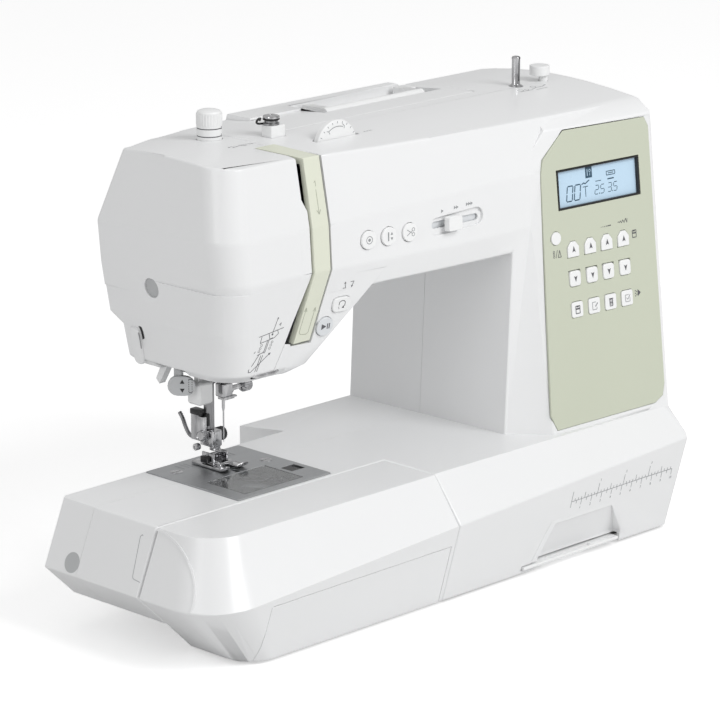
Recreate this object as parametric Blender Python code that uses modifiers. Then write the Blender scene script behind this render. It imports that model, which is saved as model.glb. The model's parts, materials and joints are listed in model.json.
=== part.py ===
"""Free-arm computerised sewing machine.

Run with: blender --background --python part.py

All driving sizes are in millimetres and are turned into metres when a mesh is made. They are measured
from the seam between the bed and the extension table, at the bottom front edge: X runs to the right
along the machine, Y away from the person who sews, Z up from the underside of the housing. place() moves
them so that the origin is the centre of the machine's footprint, at the bottom of its rubber feet.
"""

import math

import bmesh
import bpy
from mathutils import Matrix, Vector

MM = 0.001

# overall size
LEFT_X = -206.0            # widest point of the free arm's end
RIGHT_X = 221.0            # right side of the pillar
WHEEL_X = 243.0            # outer face of the handwheel
FRONT_Y = -15.5            # crease along the front of the base
REAR_Y = 167.0
BED_Z = 80.0
TOP_Z = 280.0              # front and rear edges of the top
CROWN_RISE = 5.0           # the top is this much higher at its ridge
RIDGE_Y = 112.0
FOOT_HEIGHT = 2.0
WALL = 3.0                 # plastic housing
GAP = 0.3                  # between pieces that meet
SEAM_Y = 105.0             # front and rear housing halves meet here

CENTRE_X = (LEFT_X + WHEEL_X) / 2
CENTRE_Y = (FRONT_Y + REAR_Y) / 2

# arm and head
CREASE_HIGH_Z = 238.7
CREASE_HIGH_RISE = 8.8     # the upper crease climbs towards the pillar
CREASE_LOW_Z = 212.0
ARM_BOTTOM_Z = 197.0
CREASE_OUT = 8.0           # how far the upper crease stands in front of the top edge
CHIN_SLOPE = 0.23          # the lower facet goes back this much per millimetre down
HEAD_BOTTOM_Z = 147.0
HEAD_LEFT_X = -136.0
SWEEP = 17.1               # the arm's front goes back this far at the head
SWEEP_FROM_X = RIGHT_X
SWEEP_LENGTH = 297.0
SWEEP_POWER = 2.4

# bed
ARM_FRONT_Y = 49.5         # free arm, behind the extension table
ARM_REAR_Y = 137.0
ARM_TOP_LEFT_X = -189.5
ARM_CREASE_Z = 40.0
ARM_BOTTOM_LEFT_X = -183.0
ARM_UNDER_Z = 18.0
BASE_CREASE_Z = 51.7
BASE_CREASE_RISE = 9.8     # the base's front crease climbs towards the right
TABLE_BOTTOM_LEFT_X = -165.0

# control panel plane, through a point at its lower right
PANEL_X, PANEL_Y, PANEL_Z = 221.0, 3.6, 89.0
PANEL_LEAN = 0.11          # back per millimetre up
PANEL_TURN = 0.072         # back per millimetre to the left
PANEL_THICK = 1.6
THROAT_X = 92.0            # left face of the pillar

# needle and presser
NEEDLE_X, NEEDLE_Y = -82.0, 107.0
PRESSER_Y = 120.0
NEEDLE_TIP_Z = 96.5
NEEDLE_BAR_R = 3.0
PRESSER_BAR_R = 3.1
PLATE_TOP_Z = 80.8
PLATE_THICK = 1.5
PLATE_X = (-121.5, -43.7)
PLATE_Y = (52.6, 134.6)
HOOK_X, HOOK_Y, HOOK_R = -82.0, 79.0, 25.0

# drive
SHAFT_Y, SHAFT_Z, SHAFT_R = 98.0, 218.0, 4.0
LOWER_Z = 34.0
WHEEL_R = 29.0
FIT = 0.3                  # running clearance on radius in the casting's bearings

SEGMENTS = 20              # around a small round piece

parts = bpy.data.collections.new("sewing_machine")
tools = bpy.data.collections.new("cutters")


# ---------------------------------------------------------------- scene and helpers

def clear_scene():
    for thing in list(bpy.data.objects):
        bpy.data.objects.remove(thing, do_unlink=True)
    bpy.context.scene.collection.children.link(parts)
    bpy.context.scene.collection.children.link(tools)


def plastic(name, colour, roughness=0.4, metallic=0.0):
    material = bpy.data.materials.new(name)
    material.use_nodes = True
    shader = material.node_tree.nodes["Principled BSDF"]
    shader.inputs["Base Color"].default_value = (*colour, 1.0)
    shader.inputs["Roughness"].default_value = roughness
    shader.inputs["Metallic"].default_value = metallic
    return material


def place(x, y, z):
    return Vector(((x - CENTRE_X) * MM, (y - CENTRE_Y) * MM, (z + FOOT_HEIGHT) * MM))


def new_object(name, mesh, material=None, cutter=False):
    thing = bpy.data.objects.new(name, mesh)
    (tools if cutter else parts).objects.link(thing)
    if material:
        mesh.materials.append(material)
    if cutter:
        thing.hide_render = True
        thing.display_type = "WIRE"
    return thing


def mesh_object(name, bm, material=None, cutter=False):
    mesh = bpy.data.meshes.new(name)
    bm.to_mesh(mesh)
    bm.free()
    return new_object(name, mesh, material, cutter)


def loft(name, rings, material=None, cutter=False):
    """Closed solid through rings of points, each anticlockwise from above and ordered upwards."""
    bm = bmesh.new()
    loops = [[bm.verts.new(place(*point)) for point in ring] for ring in rings]
    count = len(rings[0])
    for low, high in zip(loops, loops[1:]):
        for i in range(count):
            j = (i + 1) % count
            bm.faces.new((low[i], low[j], high[j], high[i]))
    bm.faces.new(reversed(loops[0]))
    bm.faces.new(loops[-1])
    bmesh.ops.recalc_face_normals(bm, faces=bm.faces)
    return mesh_object(name, bm, material, cutter)


def box(name, low, high, material=None, cutter=False, bevel=0.0):
    bm = bmesh.new()
    bmesh.ops.create_cube(bm, size=1.0)
    corner_a, corner_b = place(*low), place(*high)
    size = corner_b - corner_a
    bmesh.ops.scale(bm, vec=size, verts=bm.verts)
    bmesh.ops.translate(bm, vec=(corner_a + corner_b) / 2, verts=bm.verts)
    if bevel:
        bmesh.ops.bevel(bm, geom=bm.edges[:], offset=bevel * MM, segments=1, affect="EDGES")
    return mesh_object(name, bm, material, cutter)


def rod(name, start, end, radius, material=None, cutter=False, end_radius=None, segments=SEGMENTS):
    """Cylinder or cone between two points."""
    a, b = place(*start), place(*end)
    bm = bmesh.new()
    bmesh.ops.create_cone(
        bm, cap_ends=True, segments=segments, radius1=radius * MM,
        radius2=(radius if end_radius is None else end_radius) * MM, depth=(b - a).length)
    turn = Vector((0, 0, 1)).rotation_difference(b - a).to_matrix().to_4x4()
    bmesh.ops.transform(bm, matrix=Matrix.Translation((a + b) / 2) @ turn, verts=bm.verts)
    thing = mesh_object(name, bm, material, cutter)
    return thing


def prism(name, outline, low, high, axis, material=None, cutter=False):
    """Flat outline extruded along an axis from low to high."""
    def point(u, v, w):
        return {"X": (w, u, v), "Y": (u, w, v), "Z": (u, v, w)}[axis]
    rings = [[point(u, v, w) for u, v in outline] for w in (low, high)]
    return loft(name, rings, material, cutter)


def turned(name, base, axis, profile, material, segments=24):
    """Turned piece: profile of (radius, height), top first, about an axis through base."""
    curve = bpy.data.meshes.new(name)
    points = [(radius * MM, 0.0, height * MM) for radius, height in profile]
    curve.from_pydata(points, [(i, i + 1) for i in range(len(points) - 1)], [])
    thing = new_object(name, curve, material)
    screw = thing.modifiers.new("turn", "SCREW")
    screw.steps = segments
    screw.render_steps = segments
    screw.use_merge_vertices = True
    screw.merge_threshold = 1e-6
    turn = Vector((0, 0, 1)).rotation_difference(Vector(axis)).to_matrix().to_4x4()
    thing.matrix_world = Matrix.Translation(place(*base)) @ turn
    return thing


def apply(thing):
    """Evaluated mesh of an object, in place of its mesh and modifiers."""
    bpy.context.view_layer.update()
    graph = bpy.context.evaluated_depsgraph_get()
    mesh = bpy.data.meshes.new_from_object(thing.evaluated_get(graph))
    thing.modifiers.clear()
    thing.data = mesh
    return thing


def combine(thing, other, operation="DIFFERENCE", keep=False):
    step = thing.modifiers.new("combine", "BOOLEAN")
    step.operation = operation
    step.solver = "EXACT"
    step.object = other
    apply(thing)
    if not keep:
        bpy.data.objects.remove(other, do_unlink=True)
    return thing


def union(name, pieces, material=None, cutter=False):
    first = pieces[0]
    for piece in pieces[1:]:
        combine(first, piece, "UNION")
    first.name = name
    first.data.name = name
    for group in list(first.users_collection):
        group.objects.unlink(first)
    (tools if cutter else parts).objects.link(first)
    first.hide_render = cutter
    first.display_type = "WIRE" if cutter else "TEXTURED"
    first.data.materials.clear()
    if material:
        first.data.materials.append(material)
    return first


def intersection(name, thing, zone, material):
    """Part of a solid that lies in a zone, as a new piece."""
    copy = new_object(name, thing.data.copy())
    combine(copy, zone, "INTERSECT")
    copy.data.name = name
    copy.data.materials.clear()
    copy.data.materials.append(material)
    return copy


def tidy(thing, distance=0.002):
    """Close slivers that a cut left along nearly coincident edges."""
    bm = bmesh.new()
    bm.from_mesh(thing.data)
    bmesh.ops.remove_doubles(bm, verts=bm.verts, dist=distance * MM)
    bmesh.ops.dissolve_degenerate(bm, dist=distance * MM, edges=bm.edges)
    bmesh.ops.holes_fill(bm, edges=[edge for edge in bm.edges if edge.is_boundary], sides=8)
    bm.to_mesh(thing.data)
    bm.free()
    return thing


def cut(thing, *cutters):
    for cutter in cutters:
        combine(thing, cutter)
    return thing


# ---------------------------------------------------------------- outline rules

def front_line(x):
    """Y of the top's front edge: straight at the pillar, swept back towards the head."""
    x = max(x, NEEDLE_X + 6)
    return 36.5 + SWEEP * (max(SWEEP_FROM_X - x, 0.0) / SWEEP_LENGTH) ** SWEEP_POWER


def crease_z(x):
    share = min(max((x + 76) / 180, 0.0), 1.0)
    return CREASE_HIGH_Z + CREASE_HIGH_RISE * share


def chin_y(x, z):
    """Front surface below the lower crease."""
    return front_line(x) - CREASE_OUT - 0.5 + (CREASE_LOW_Z - z) * CHIN_SLOPE


def front_y(x, z):
    """Front surface of the arm at any height."""
    high = crease_z(x)
    if z >= high:
        return front_line(x) - CREASE_OUT * (TOP_Z - z) / (TOP_Z - high)
    if z >= CREASE_LOW_Z:
        return front_line(x) - CREASE_OUT - 0.5 * (high - z) / (high - CREASE_LOW_Z)
    return chin_y(x, z)


def front_normal(x, z):
    """Outward normal of the arm's front at a point."""
    step = 1.0
    along = Vector((2 * step, front_y(x + step, z) - front_y(x - step, z), 0))
    up = Vector((0, front_y(x, z + step) - front_y(x, z - step), 2 * step))
    return along.cross(up).normalized()


def panel_y(x, z):
    return PANEL_Y + (z - PANEL_Z) * PANEL_LEAN + (PANEL_X - x) * PANEL_TURN


PANEL_NORMAL = Vector((-PANEL_TURN, -1.0, PANEL_LEAN)).normalized()
PANEL_RIGHT = Vector((1.0, -PANEL_TURN, 0.0)).normalized()
PANEL_UP = PANEL_NORMAL.cross(PANEL_RIGHT)


def panel_at(x, z, out=0.0):
    """Point above the control panel's plane at x and z."""
    return Vector((x, panel_y(x, z), z)) + PANEL_NORMAL * out


def crown_z(y):
    half = 70.0 if y < RIDGE_Y else REAR_Y - RIDGE_Y
    return TOP_Z + CROWN_RISE * (1 - ((y - RIDGE_Y) / half) ** 2)


def inset_ring(ring, amount):
    """Ring moved inwards in plan, each corner along the mitre of its two sides."""
    if not amount:
        return ring
    count = len(ring)
    result = []
    for i, (x, y, z) in enumerate(ring):
        before = Vector((x - ring[i - 1][0], y - ring[i - 1][1])).normalized()
        after_point = ring[(i + 1) % count]
        after = Vector((after_point[0] - x, after_point[1] - y)).normalized()
        normal_a, normal_b = Vector((-before.y, before.x)), Vector((-after.y, after.x))
        mitre = (normal_a + normal_b) / (1 + normal_a.dot(normal_b))
        result.append((x + mitre.x * amount, y + mitre.y * amount, z))
    return result


def arc(centre, radius, start, end, steps):
    angles = [math.radians(start + (end - start) * i / steps) for i in range(steps + 1)]
    return [(centre[0] + radius * math.cos(a), centre[1] + radius * math.sin(a)) for a in angles]


# ---------------------------------------------------------------- housing envelope

ARM_STATIONS = [-76, -46, -8, 32, 75, 128, 180]


def arm_ring(z_rule, out, left, corner, rear_corner, rear_mid, inset):
    """Plan outline of the arm and upper head at one level."""
    front = front_line(-100) - out
    turn_point = (left + corner, front + corner)
    rear_x, rear_y = rear_corner
    points = [(x, y, z_rule(x)) for x, y in arc(turn_point, corner, 180, 262, 5)]
    points += [(x, front_line(x) - out, z_rule(x)) for x in ARM_STATIONS]
    right = RIGHT_X - 1.0
    points += [(right, front_line(right) - out, z_rule(right)), (right, REAR_Y - 7, z_rule(right)),
               (right - 8, REAR_Y, z_rule(right)), (-24, REAR_Y, z_rule(-24)), (-59, REAR_Y - 4, z_rule(-59)),
               (-100, rear_mid, z_rule(-100)), (rear_x + 3.5, rear_y, z_rule(left)),
               (rear_x, rear_y - 3, z_rule(left)), (left - 1, 106, z_rule(left))]
    return inset_ring(points, inset)


def arm_body(inset):
    above = TOP_Z + 2 * CROWN_RISE
    top_out = -CREASE_OUT * (above - TOP_Z) / (TOP_Z - CREASE_HIGH_Z)
    rings = [
        arm_ring(lambda x: ARM_BOTTOM_Z + inset, CREASE_OUT + 0.5 - 3.5, -129, 20, (-132.5, 160.5), 161, inset),
        arm_ring(lambda x: CREASE_LOW_Z, CREASE_OUT + 0.5, -132.5, 20, (-135.5, 160), 161.5, inset),
        arm_ring(crease_z, CREASE_OUT, HEAD_LEFT_X, 20, (HEAD_LEFT_X - 3.2, 158.5), 161.5, inset),
        arm_ring(lambda x: above, top_out, -129, 20, (-130.5, 140), 152, inset),
    ]
    return loft("arm_body", rings, cutter=True)


def head_right_x(z):
    return -56 + (z - 154.5) * 0.96


def head_ring(z, left, rear, corner, inset, tuck=0.0):
    front = chin_y(-90, z) + tuck
    right = head_right_x(z) - tuck
    front_right = chin_y(right, z) + tuck
    points = [(x, y, z) for x, y in arc((left + corner, front + corner), corner, 180, 262, 5)]
    points += [(NEEDLE_X + 6, front, z), (right - 4, front_right, z), (right, front_right + 4, z),
               (right, rear - 4, z), (right - 4, rear, z), (-100, rear, z), (left + 2, rear - 0.5, z),
               (left, rear - 2.5, z), (left - 0.5, 106, z)]
    return inset_ring(points, inset)


def head_body(inset):
    low = HEAD_BOTTOM_Z + inset
    rings = [
        head_ring(low, -116, 143, 20, inset, tuck=5.0),
        head_ring(152.5 + inset / 2, -122.3, 149.5, 20, inset),
        head_ring(173, -126, 150.5, 20, inset),
        head_ring(180, -128.5, 159.5, 20, inset),
        head_ring(207, -132.5, 160.8, 20, inset),
    ]
    return loft("head_body", rings, cutter=True)


def pillar_ring(z, left, cut_left, inset, front_out=0.0):
    points = [(left, 33, z), (cut_left, panel_y(cut_left, z) - front_out, z),
              (RIGHT_X - 3, panel_y(RIGHT_X - 3, z) - front_out, z), (RIGHT_X, panel_y(RIGHT_X, z) + 3, z),
              (RIGHT_X, REAR_Y - 7, z), (RIGHT_X - 7, REAR_Y - 0.3, z), (left - 5, REAR_Y - 0.3, z)]
    return inset_ring(points, inset)


def pillar_body(inset):
    top = TOP_Z + 2 * CROWN_RISE
    chamfer_z = 271.5
    rings = [
        pillar_ring(BED_Z - 20 - 2 * inset, THROAT_X, 114, inset),
        pillar_ring(246, THROAT_X + 9, 118.5, inset),
        pillar_ring(chamfer_z, THROAT_X + 34, 139, inset),
    ]
    rise = top - chamfer_z
    back = rise * 1.35
    rings.append([(x, y + (back if y < 60 else 0), top) for x, y, z in rings[-1]])
    return loft("pillar_body", rings, cutter=True)


def base_ring(z, z_right, front, front_right, right, rear, inset):
    points = [(0, front, z), (right - 4, front_right, z_right), (right, front_right + 4, z_right),
              (right, rear - 8, z_right), (right - 8, rear, z_right), (-12, rear, z), (0, 140, z)]
    return inset_ring(points, inset)


def base_body(inset):
    low = -5.0 if inset else 0.0
    rings = [
        base_ring(low, low, -0.8, -0.8, 217, 161, inset),
        base_ring(BASE_CREASE_Z, BASE_CREASE_Z + BASE_CREASE_RISE, FRONT_Y, FRONT_Y + 1.5, 222.5, REAR_Y, inset),
        base_ring(BED_Z - inset, BED_Z - inset, 6.6, 3.7, 221.5, REAR_Y, inset),
    ]
    return loft("base_body", rings, cutter=True)


def free_arm_ring(z, left, inset):
    points = [(left, ARM_FRONT_Y + 2, z), (left + 2, ARM_FRONT_Y, z), (20, ARM_FRONT_Y, z),
              (20, ARM_REAR_Y + 2, z), (left + 3, ARM_REAR_Y - 1.5, z), (left, ARM_REAR_Y - 4, z)]
    return inset_ring(points, inset)


def free_arm_body(inset):
    rings = [
        free_arm_ring(ARM_UNDER_Z + inset, ARM_BOTTOM_LEFT_X, inset),
        free_arm_ring(ARM_CREASE_Z, LEFT_X, inset),
        free_arm_ring(BED_Z - inset, ARM_TOP_LEFT_X, inset),
    ]
    return loft("free_arm_body", rings, cutter=True)


HANDLE_X = (33.0, 122.0)
HANDLE_Y = 135.0
HANDLE_PIVOT_Y = 152.0
HANDLE_Z = 281.5
WELL_FLOOR_Z = 272.0
WELL = ((HANDLE_X[0] - 9, 126.0, WELL_FLOOR_Z), (HANDLE_X[1] + 10, 158.0, TOP_Z + 20))


def rear_lip(inset):
    """Raised edge behind the carrying handle."""
    top = TOP_Z + CROWN_RISE - 0.4 - inset
    rings = [[(x0, 146, z), (x1, 146, z), (x1, REAR_Y - inset, z), (x0, REAR_Y - inset, z)]
             for x0, x1, z in ((-26 + inset, 138 - inset, TOP_Z - 12), (-20 + inset, 124 - inset, top))]
    return loft("rear_lip", rings, cutter=True)


def crown_body(inset):
    outline = [(y, crown_z(y) - inset) for y in (15, 42, 60, 80, 95, RIDGE_Y, 128, 145, 158, 175)]
    outline = [(200, 0)] + list(reversed([(200, outline[-1][1])] + outline[::-1])) + [(-40, outline[0][1]), (-40, 0)]
    ordered = [(-40, 0), (200, 0), (200, crown_z(175) - inset)]
    ordered += [(y, crown_z(y) - inset) for y in (158, 145, 128, RIDGE_Y, 95, 80, 60, 42, 15)]
    ordered += [(-40, crown_z(15) - inset)]
    return prism("crown_body", ordered, -160, 260, "X", cutter=True)


def envelope(inset):
    upper = union("upper", [arm_body(inset), pillar_body(inset)], cutter=True)
    combine(upper, crown_body(inset), "INTERSECT")
    lower = union("lower", [base_body(inset), free_arm_body(inset)], cutter=True)
    return union("envelope", [upper, rear_lip(inset), head_body(inset), lower], cutter=True)


def housing_shell():
    shell = envelope(0.0)
    hollow = envelope(WALL)
    (x0, y0, z0), (x1, y1, z1) = WELL
    combine(hollow, box("well_wall", (x0 - WALL, y0 - WALL, z0 - WALL), (x1 + WALL, y1 + WALL, z1), cutter=True))
    combine(shell, hollow)
    combine(shell, box("handle_well", *WELL, cutter=True))
    return shell


# ---------------------------------------------------------------- thread guide strip

STRIP_DEPTH = 4.0
STRIP_PATH = [
    # left x, right x, z, inward y, inward z; y comes from the surface
    (-77.0, -62.5, None, 0.0, -1.0),
    (-67.4, -54.2, TOP_Z + 0.6, 0.7, -0.9),
    (-67.7, -54.2, CREASE_HIGH_Z + 0.8, 1.0, 0.0),
    (-66.5, -53.2, CREASE_LOW_Z + 0.4, 1.0, 0.0),
    (-74.0, -60.4, 167.5, 1.0, 0.15),
]
STRIP_BACK_Y = 82.0
STRIP_PROUD = 0.6


def strip_rings(side, outside, inside):
    """Rings of the bent strip: side is added each side, outside and inside are its depth limits."""
    rings = []
    for left, right, z, in_y, in_z in STRIP_PATH:
        if z is None:
            y, z = STRIP_BACK_Y + side, crown_z(STRIP_BACK_Y)
        else:
            y = front_y((left + right) / 2, z)
        outer_y, outer_z = y - in_y * outside, z - in_z * outside
        inner_y, inner_z = y + in_y * inside, z + in_z * inside
        rings.append([(left - side, outer_y, outer_z), (right + side, outer_y, outer_z),
                      (right + side, inner_y, inner_z), (left - side, inner_y, inner_z)])
    last = [(x, y + 1.5 * side * CHIN_SLOPE, z - 1.5 * side) for x, y, z in rings[-1]]
    rings[-1] = last
    return rings


def strip_cutter(name):
    return loft(name, strip_rings(1.0, 12.0, 16.0), cutter=True)


def make_strip(material):
    return loft("thread_guide_cover", strip_rings(0.0, STRIP_PROUD, STRIP_DEPTH), material)


# ---------------------------------------------------------------- housing pieces

FACE_EDGE = [(-66.8, 300), (-66.8, 211), (-80, 167.5), (-86, 151), (-86, 100)]
SLOT_BACK_Y = 74.0
TAKE_UP_SLOT = [(-71.8, 300), (-71.8, 257), (-68.7, 250), (-64, 250), (-64, 300)]
LOWER_SLOT = [(-66.6, 213.5), (-79.6, 168.6), (-72, 166.8), (-64, 213.5)]
LID_X = 139.0              # right of this the front half reaches back to the rear edge


def edge_line(shift):
    return [(x + shift, z) for x, z in FACE_EDGE]


def front_zone():
    half = GAP / 2
    upper = prism("zone_front", edge_line(half)[::-1] + [(300, 300), (300, 100)][::1], -60, SEAM_Y - half, "Y",
                  cutter=True)
    lower = box("zone_front_low", (-260, -60, -20), (300, SEAM_Y - half, 100.5), cutter=True)
    corner = box("zone_front_top", (LID_X + half, SEAM_Y - 5, 262), (300, 260, 300), cutter=True)
    return union("zone_front", [upper, lower, corner], cutter=True)


def rear_zone():
    half = GAP / 2
    upper = prism("zone_rear", edge_line(half)[::-1] + [(300, 300), (300, 100)], SEAM_Y + half, 260, "Y",
                  cutter=True)
    lower = box("zone_rear_low", (-260, SEAM_Y + half, -20), (300, 260, 100.5), cutter=True)
    zone = union("zone_rear", [upper, lower], cutter=True)
    corner = box("zone_rear_top", (LID_X - half, SEAM_Y - 5, 262 - GAP), (301, 261, 301), cutter=True)
    combine(zone, corner)
    return zone


def face_zone():
    return prism("zone_face", [(-200, 100)] + edge_line(-GAP / 2)[::-1] + [(-200, 300)], -60, 260, "Y",
                 cutter=True)


def make_housing(white):
    shell = housing_shell()
    front = intersection("front_cover", shell, front_zone(), white)
    rear = intersection("rear_cover", shell, rear_zone(), white)
    face = intersection("face_cover", shell, face_zone(), white)
    bpy.data.objects.remove(shell, do_unlink=True)
    return front, rear, face


# ---------------------------------------------------------------- controls

KEY = 10.0
KEY_DEPTH = 7.0
KEY_PROUD = 1.2
KEY_COLUMNS = (141.5, 156.6, 171.3, 186.2)
KEY_ROWS = (194.6, 176.0, 156.0)
KEY_ROW_NAMES = ("up", "down", "memory")
MODE_KEY = (127.2, 203.6)
MODE_KEY_R = 4.2
DISPLAY = (131.8, 204.6, 220.6, 245.6)      # left, right, bottom, top
ARM_BUTTONS = ((-24.8, 226.2), (-9.0, 226.1), (7.7, 226.1))
ARM_BUTTON_R = 5.75
REVERSE_AT = (-41.1, 188.1)
START_AT = (-51.4, 175.4)
START_R = 6.2
SLIDER_FROM, SLIDER_TO = (27.5, 225.6), (66.5, 227.6)
SLIDER_KNOB = 42.2


def oriented(normal, up=Vector((0, 0, 1))):
    """Rotation that turns local Z to a normal and keeps local Y near up."""
    side = up.cross(normal).normalized()
    top = normal.cross(side)
    return Matrix((side, top, normal)).transposed().to_4x4()


def capsule(length, width, steps=4):
    """Outline of a slot or a rounded key, length along X."""
    reach = (length - width) / 2
    right = arc((reach, 0), width / 2, -90, 90, steps * 2)
    left = arc((-reach, 0), width / 2, 90, 270, steps * 2)
    return right + left


def rounded(width, height, radius, steps=2):
    w, h = width / 2 - radius, height / 2 - radius
    points = []
    for cx, cy, start in ((w, -h, -90), (w, h, 0), (-w, h, 90), (-w, -h, 180)):
        points += arc((cx, cy), radius, start, start + 90, steps)
    return points


def stud(name, outline, at, normal, low, high, material=None, cutter=False, taper=1.0):
    """Outline extruded along a normal, from low to high above a point of the housing."""
    bm = bmesh.new()
    loops = [[bm.verts.new(Vector((u * share, v * share, w)) * MM) for u, v in outline]
             for w, share in ((low, 1.0), (high, taper))]
    count = len(outline)
    for i in range(count):
        j = (i + 1) % count
        bm.faces.new((loops[0][i], loops[0][j], loops[1][j], loops[1][i]))
    bm.faces.new(reversed(loops[0]))
    bm.faces.new(loops[1])
    bmesh.ops.recalc_face_normals(bm, faces=bm.faces)
    thing = mesh_object(name, bm, material, cutter)
    thing.matrix_world = Matrix.Translation(place(*at)) @ oriented(normal)
    bpy.context.view_layer.update()
    return thing


def grown(outline, amount):
    ring = inset_ring([(x, y, 0) for x, y in outline], -amount)
    return [(x, y) for x, y, z in ring]


def key_outline(row):
    """Square cap; the upper row narrows at its top and the middle row at its bottom."""
    half = KEY / 2
    if row == 2:
        return rounded(KEY, KEY, 1.5)
    sign = 1 if row == 0 else -1
    points = [(-half, -half * sign), (half, -half * sign), (half, 1.5 * sign), (half - 3, half * sign),
              (-half + 3, half * sign), (-half, 1.5 * sign)]
    return points if sign > 0 else points[::-1]


def panel_outline():
    """Corners of the green panel as x and z."""
    left_low, left_high = 113.0, 118.5
    points = [(left_low + 5, 82.0), (206, 83.6), (213.5, 87.5), (215.5, 95), (215.3, 263),
              (212, 269.2), (139.5, 270.2), (121, 254), (left_high, 246), (left_low, 92)]
    return points


def panel_local(x, z):
    """Coordinates in the panel's plane of a point given by x and z."""
    offset = panel_at(x, z) - panel_at(PANEL_X, PANEL_Z)
    return offset.dot(PANEL_RIGHT), offset.dot(PANEL_UP)


def panel_stud(name, points, low, high, material=None, cutter=False):
    outline = [panel_local(x, z) for x, z in points]
    return stud(name, outline, panel_at(PANEL_X, PANEL_Z), PANEL_NORMAL, low, high, material, cutter)


def display_points(grow):
    left, right, low, high = DISPLAY
    return [(left - grow, low - grow), (right + grow, low - grow), (right + grow, high + grow),
            (left - grow, high + grow)]


def make_controls(front, green, white, dark, board_green):
    """Panel, keys, display board and the buttons on the arm, with their openings in the front cover."""
    recess = 1.2
    panel = panel_stud("control_panel", panel_outline(), -recess, PANEL_THICK - recess, green)
    pocket = panel_stud("pocket", [(x, z) for x, z in panel_outline()], -recess - GAP, 8, cutter=True)
    pocket_grow = grown([panel_local(x, z) for x, z in panel_outline()], GAP)
    bpy.data.objects.remove(pocket, do_unlink=True)
    cut(front, stud("pocket", pocket_grow, panel_at(PANEL_X, PANEL_Z), PANEL_NORMAL, -recess - GAP, 8, cutter=True))

    key_field = [(KEY_COLUMNS[0] - 22, KEY_ROWS[2] - 9), (KEY_COLUMNS[3] + 9, KEY_ROWS[2] - 9),
                 (KEY_COLUMNS[3] + 9, KEY_ROWS[0] + 16), (KEY_COLUMNS[0] - 22, KEY_ROWS[0] + 16)]
    cut(front, panel_stud("key_window", key_field, -12, 8, cutter=True),
        panel_stud("display_window", display_points(1.5), -12, 8, cutter=True))
    cut(panel, panel_stud("display_opening", display_points(GAP), -6, 6, cutter=True))

    keys = []
    for row, z in enumerate(KEY_ROWS):
        for column, x in enumerate(KEY_COLUMNS):
            outline = key_outline(row)
            name = f"key_{KEY_ROW_NAMES[row]}_{column + 1}"
            keys.append(stud(name, outline, panel_at(x, z), PANEL_NORMAL, KEY_PROUD - KEY_DEPTH, KEY_PROUD, white))
            cut(panel, stud("key_hole", grown(outline, GAP), panel_at(x, z), PANEL_NORMAL, -6, 6, cutter=True))
    circle = arc((0, 0), MODE_KEY_R, 0, 360 * (1 - 1 / SEGMENTS), SEGMENTS - 1)
    stud("mode_key", circle, panel_at(*MODE_KEY), PANEL_NORMAL, KEY_PROUD - KEY_DEPTH, KEY_PROUD, white)
    cut(panel, stud("mode_hole", grown(circle, GAP), panel_at(*MODE_KEY), PANEL_NORMAL, -6, 6, cutter=True))

    board_back, board_front = -11.5, -9.9
    board_points = [(121, 148), (206, 148), (206, 250), (121, 250)]
    board = panel_stud("display_board", board_points, board_back, board_front, board_green)
    screen = panel_stud("screen", display_points(0), board_front - 0.5, -0.6, cutter=True)
    union("display_board", [board, screen], board_green)

    for index, (x, z) in enumerate(ARM_BUTTONS):
        at = (x, front_y(x, z), z)
        normal = front_normal(x, z)
        disc = arc((0, 0), ARM_BUTTON_R, 0, 360 * (1 - 1 / SEGMENTS), SEGMENTS - 1)
        stud(f"arm_button_{index + 1}", disc, at, normal, -7, 1.3, white)
        cut(front, stud("button_hole", grown(disc, GAP), at, normal, -9, 6, cutter=True))

    lower = (("reverse_button", REVERSE_AT, rounded(13.5, 9.5, 3.2)),
             ("start_stop_button", START_AT,
              arc((0, 0), START_R, 0, 360 * (1 - 1 / SEGMENTS), SEGMENTS - 1)))
    for name, (x, z), outline in lower:
        at = (x, chin_y(x, z), z)
        normal = front_normal(x, z)
        stud(name, outline, at, normal, -6, 1.3, dark if name.startswith("start") else white)
        cut(front, stud("button_hole", grown(outline, GAP), at, normal, -9, 6, cutter=True))

    mid_x = (SLIDER_FROM[0] + SLIDER_TO[0]) / 2
    mid_z = (SLIDER_FROM[1] + SLIDER_TO[1]) / 2
    normal = front_normal(mid_x, mid_z)
    at = Vector((mid_x, front_y(mid_x, mid_z), mid_z))
    slot = capsule(SLIDER_TO[0] - SLIDER_FROM[0], 4.4)
    cut(front, stud("speed_slot", slot, at, normal, -9, 6, cutter=True))
    along = oriented(normal).to_3x3() @ Vector((1, 0, 0))
    knob_at = at + along * (SLIDER_KNOB - mid_x)
    stem = stud("speed_stem", rounded(6, 3.6, 0.8, 1), knob_at, normal, -5, 1.0, cutter=True)
    knob = stud("speed_knob", rounded(12.5, 9.5, 1.5), knob_at, normal, 0.5, 4.5, cutter=True, taper=0.9)
    union("speed_slider", [stem, knob], white)


# ---------------------------------------------------------------- top fittings

DIAL_AT = (NEEDLE_X + 2.2, PRESSER_Y - 0.7)
DIAL_R = 8.0
TENSION_X, TENSION_Y, TENSION_R = -18.5, 73.5, 17.5
TENSION_DROP = 6.5         # the wheel's centre is this far below the top
WINDER_AT = (171.5, 98.0)
STOP_AT = (197.5, 97.5)
GUIDE_AT = (-46.5, 98.0)
DIAL_RISE = 18.5


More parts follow.
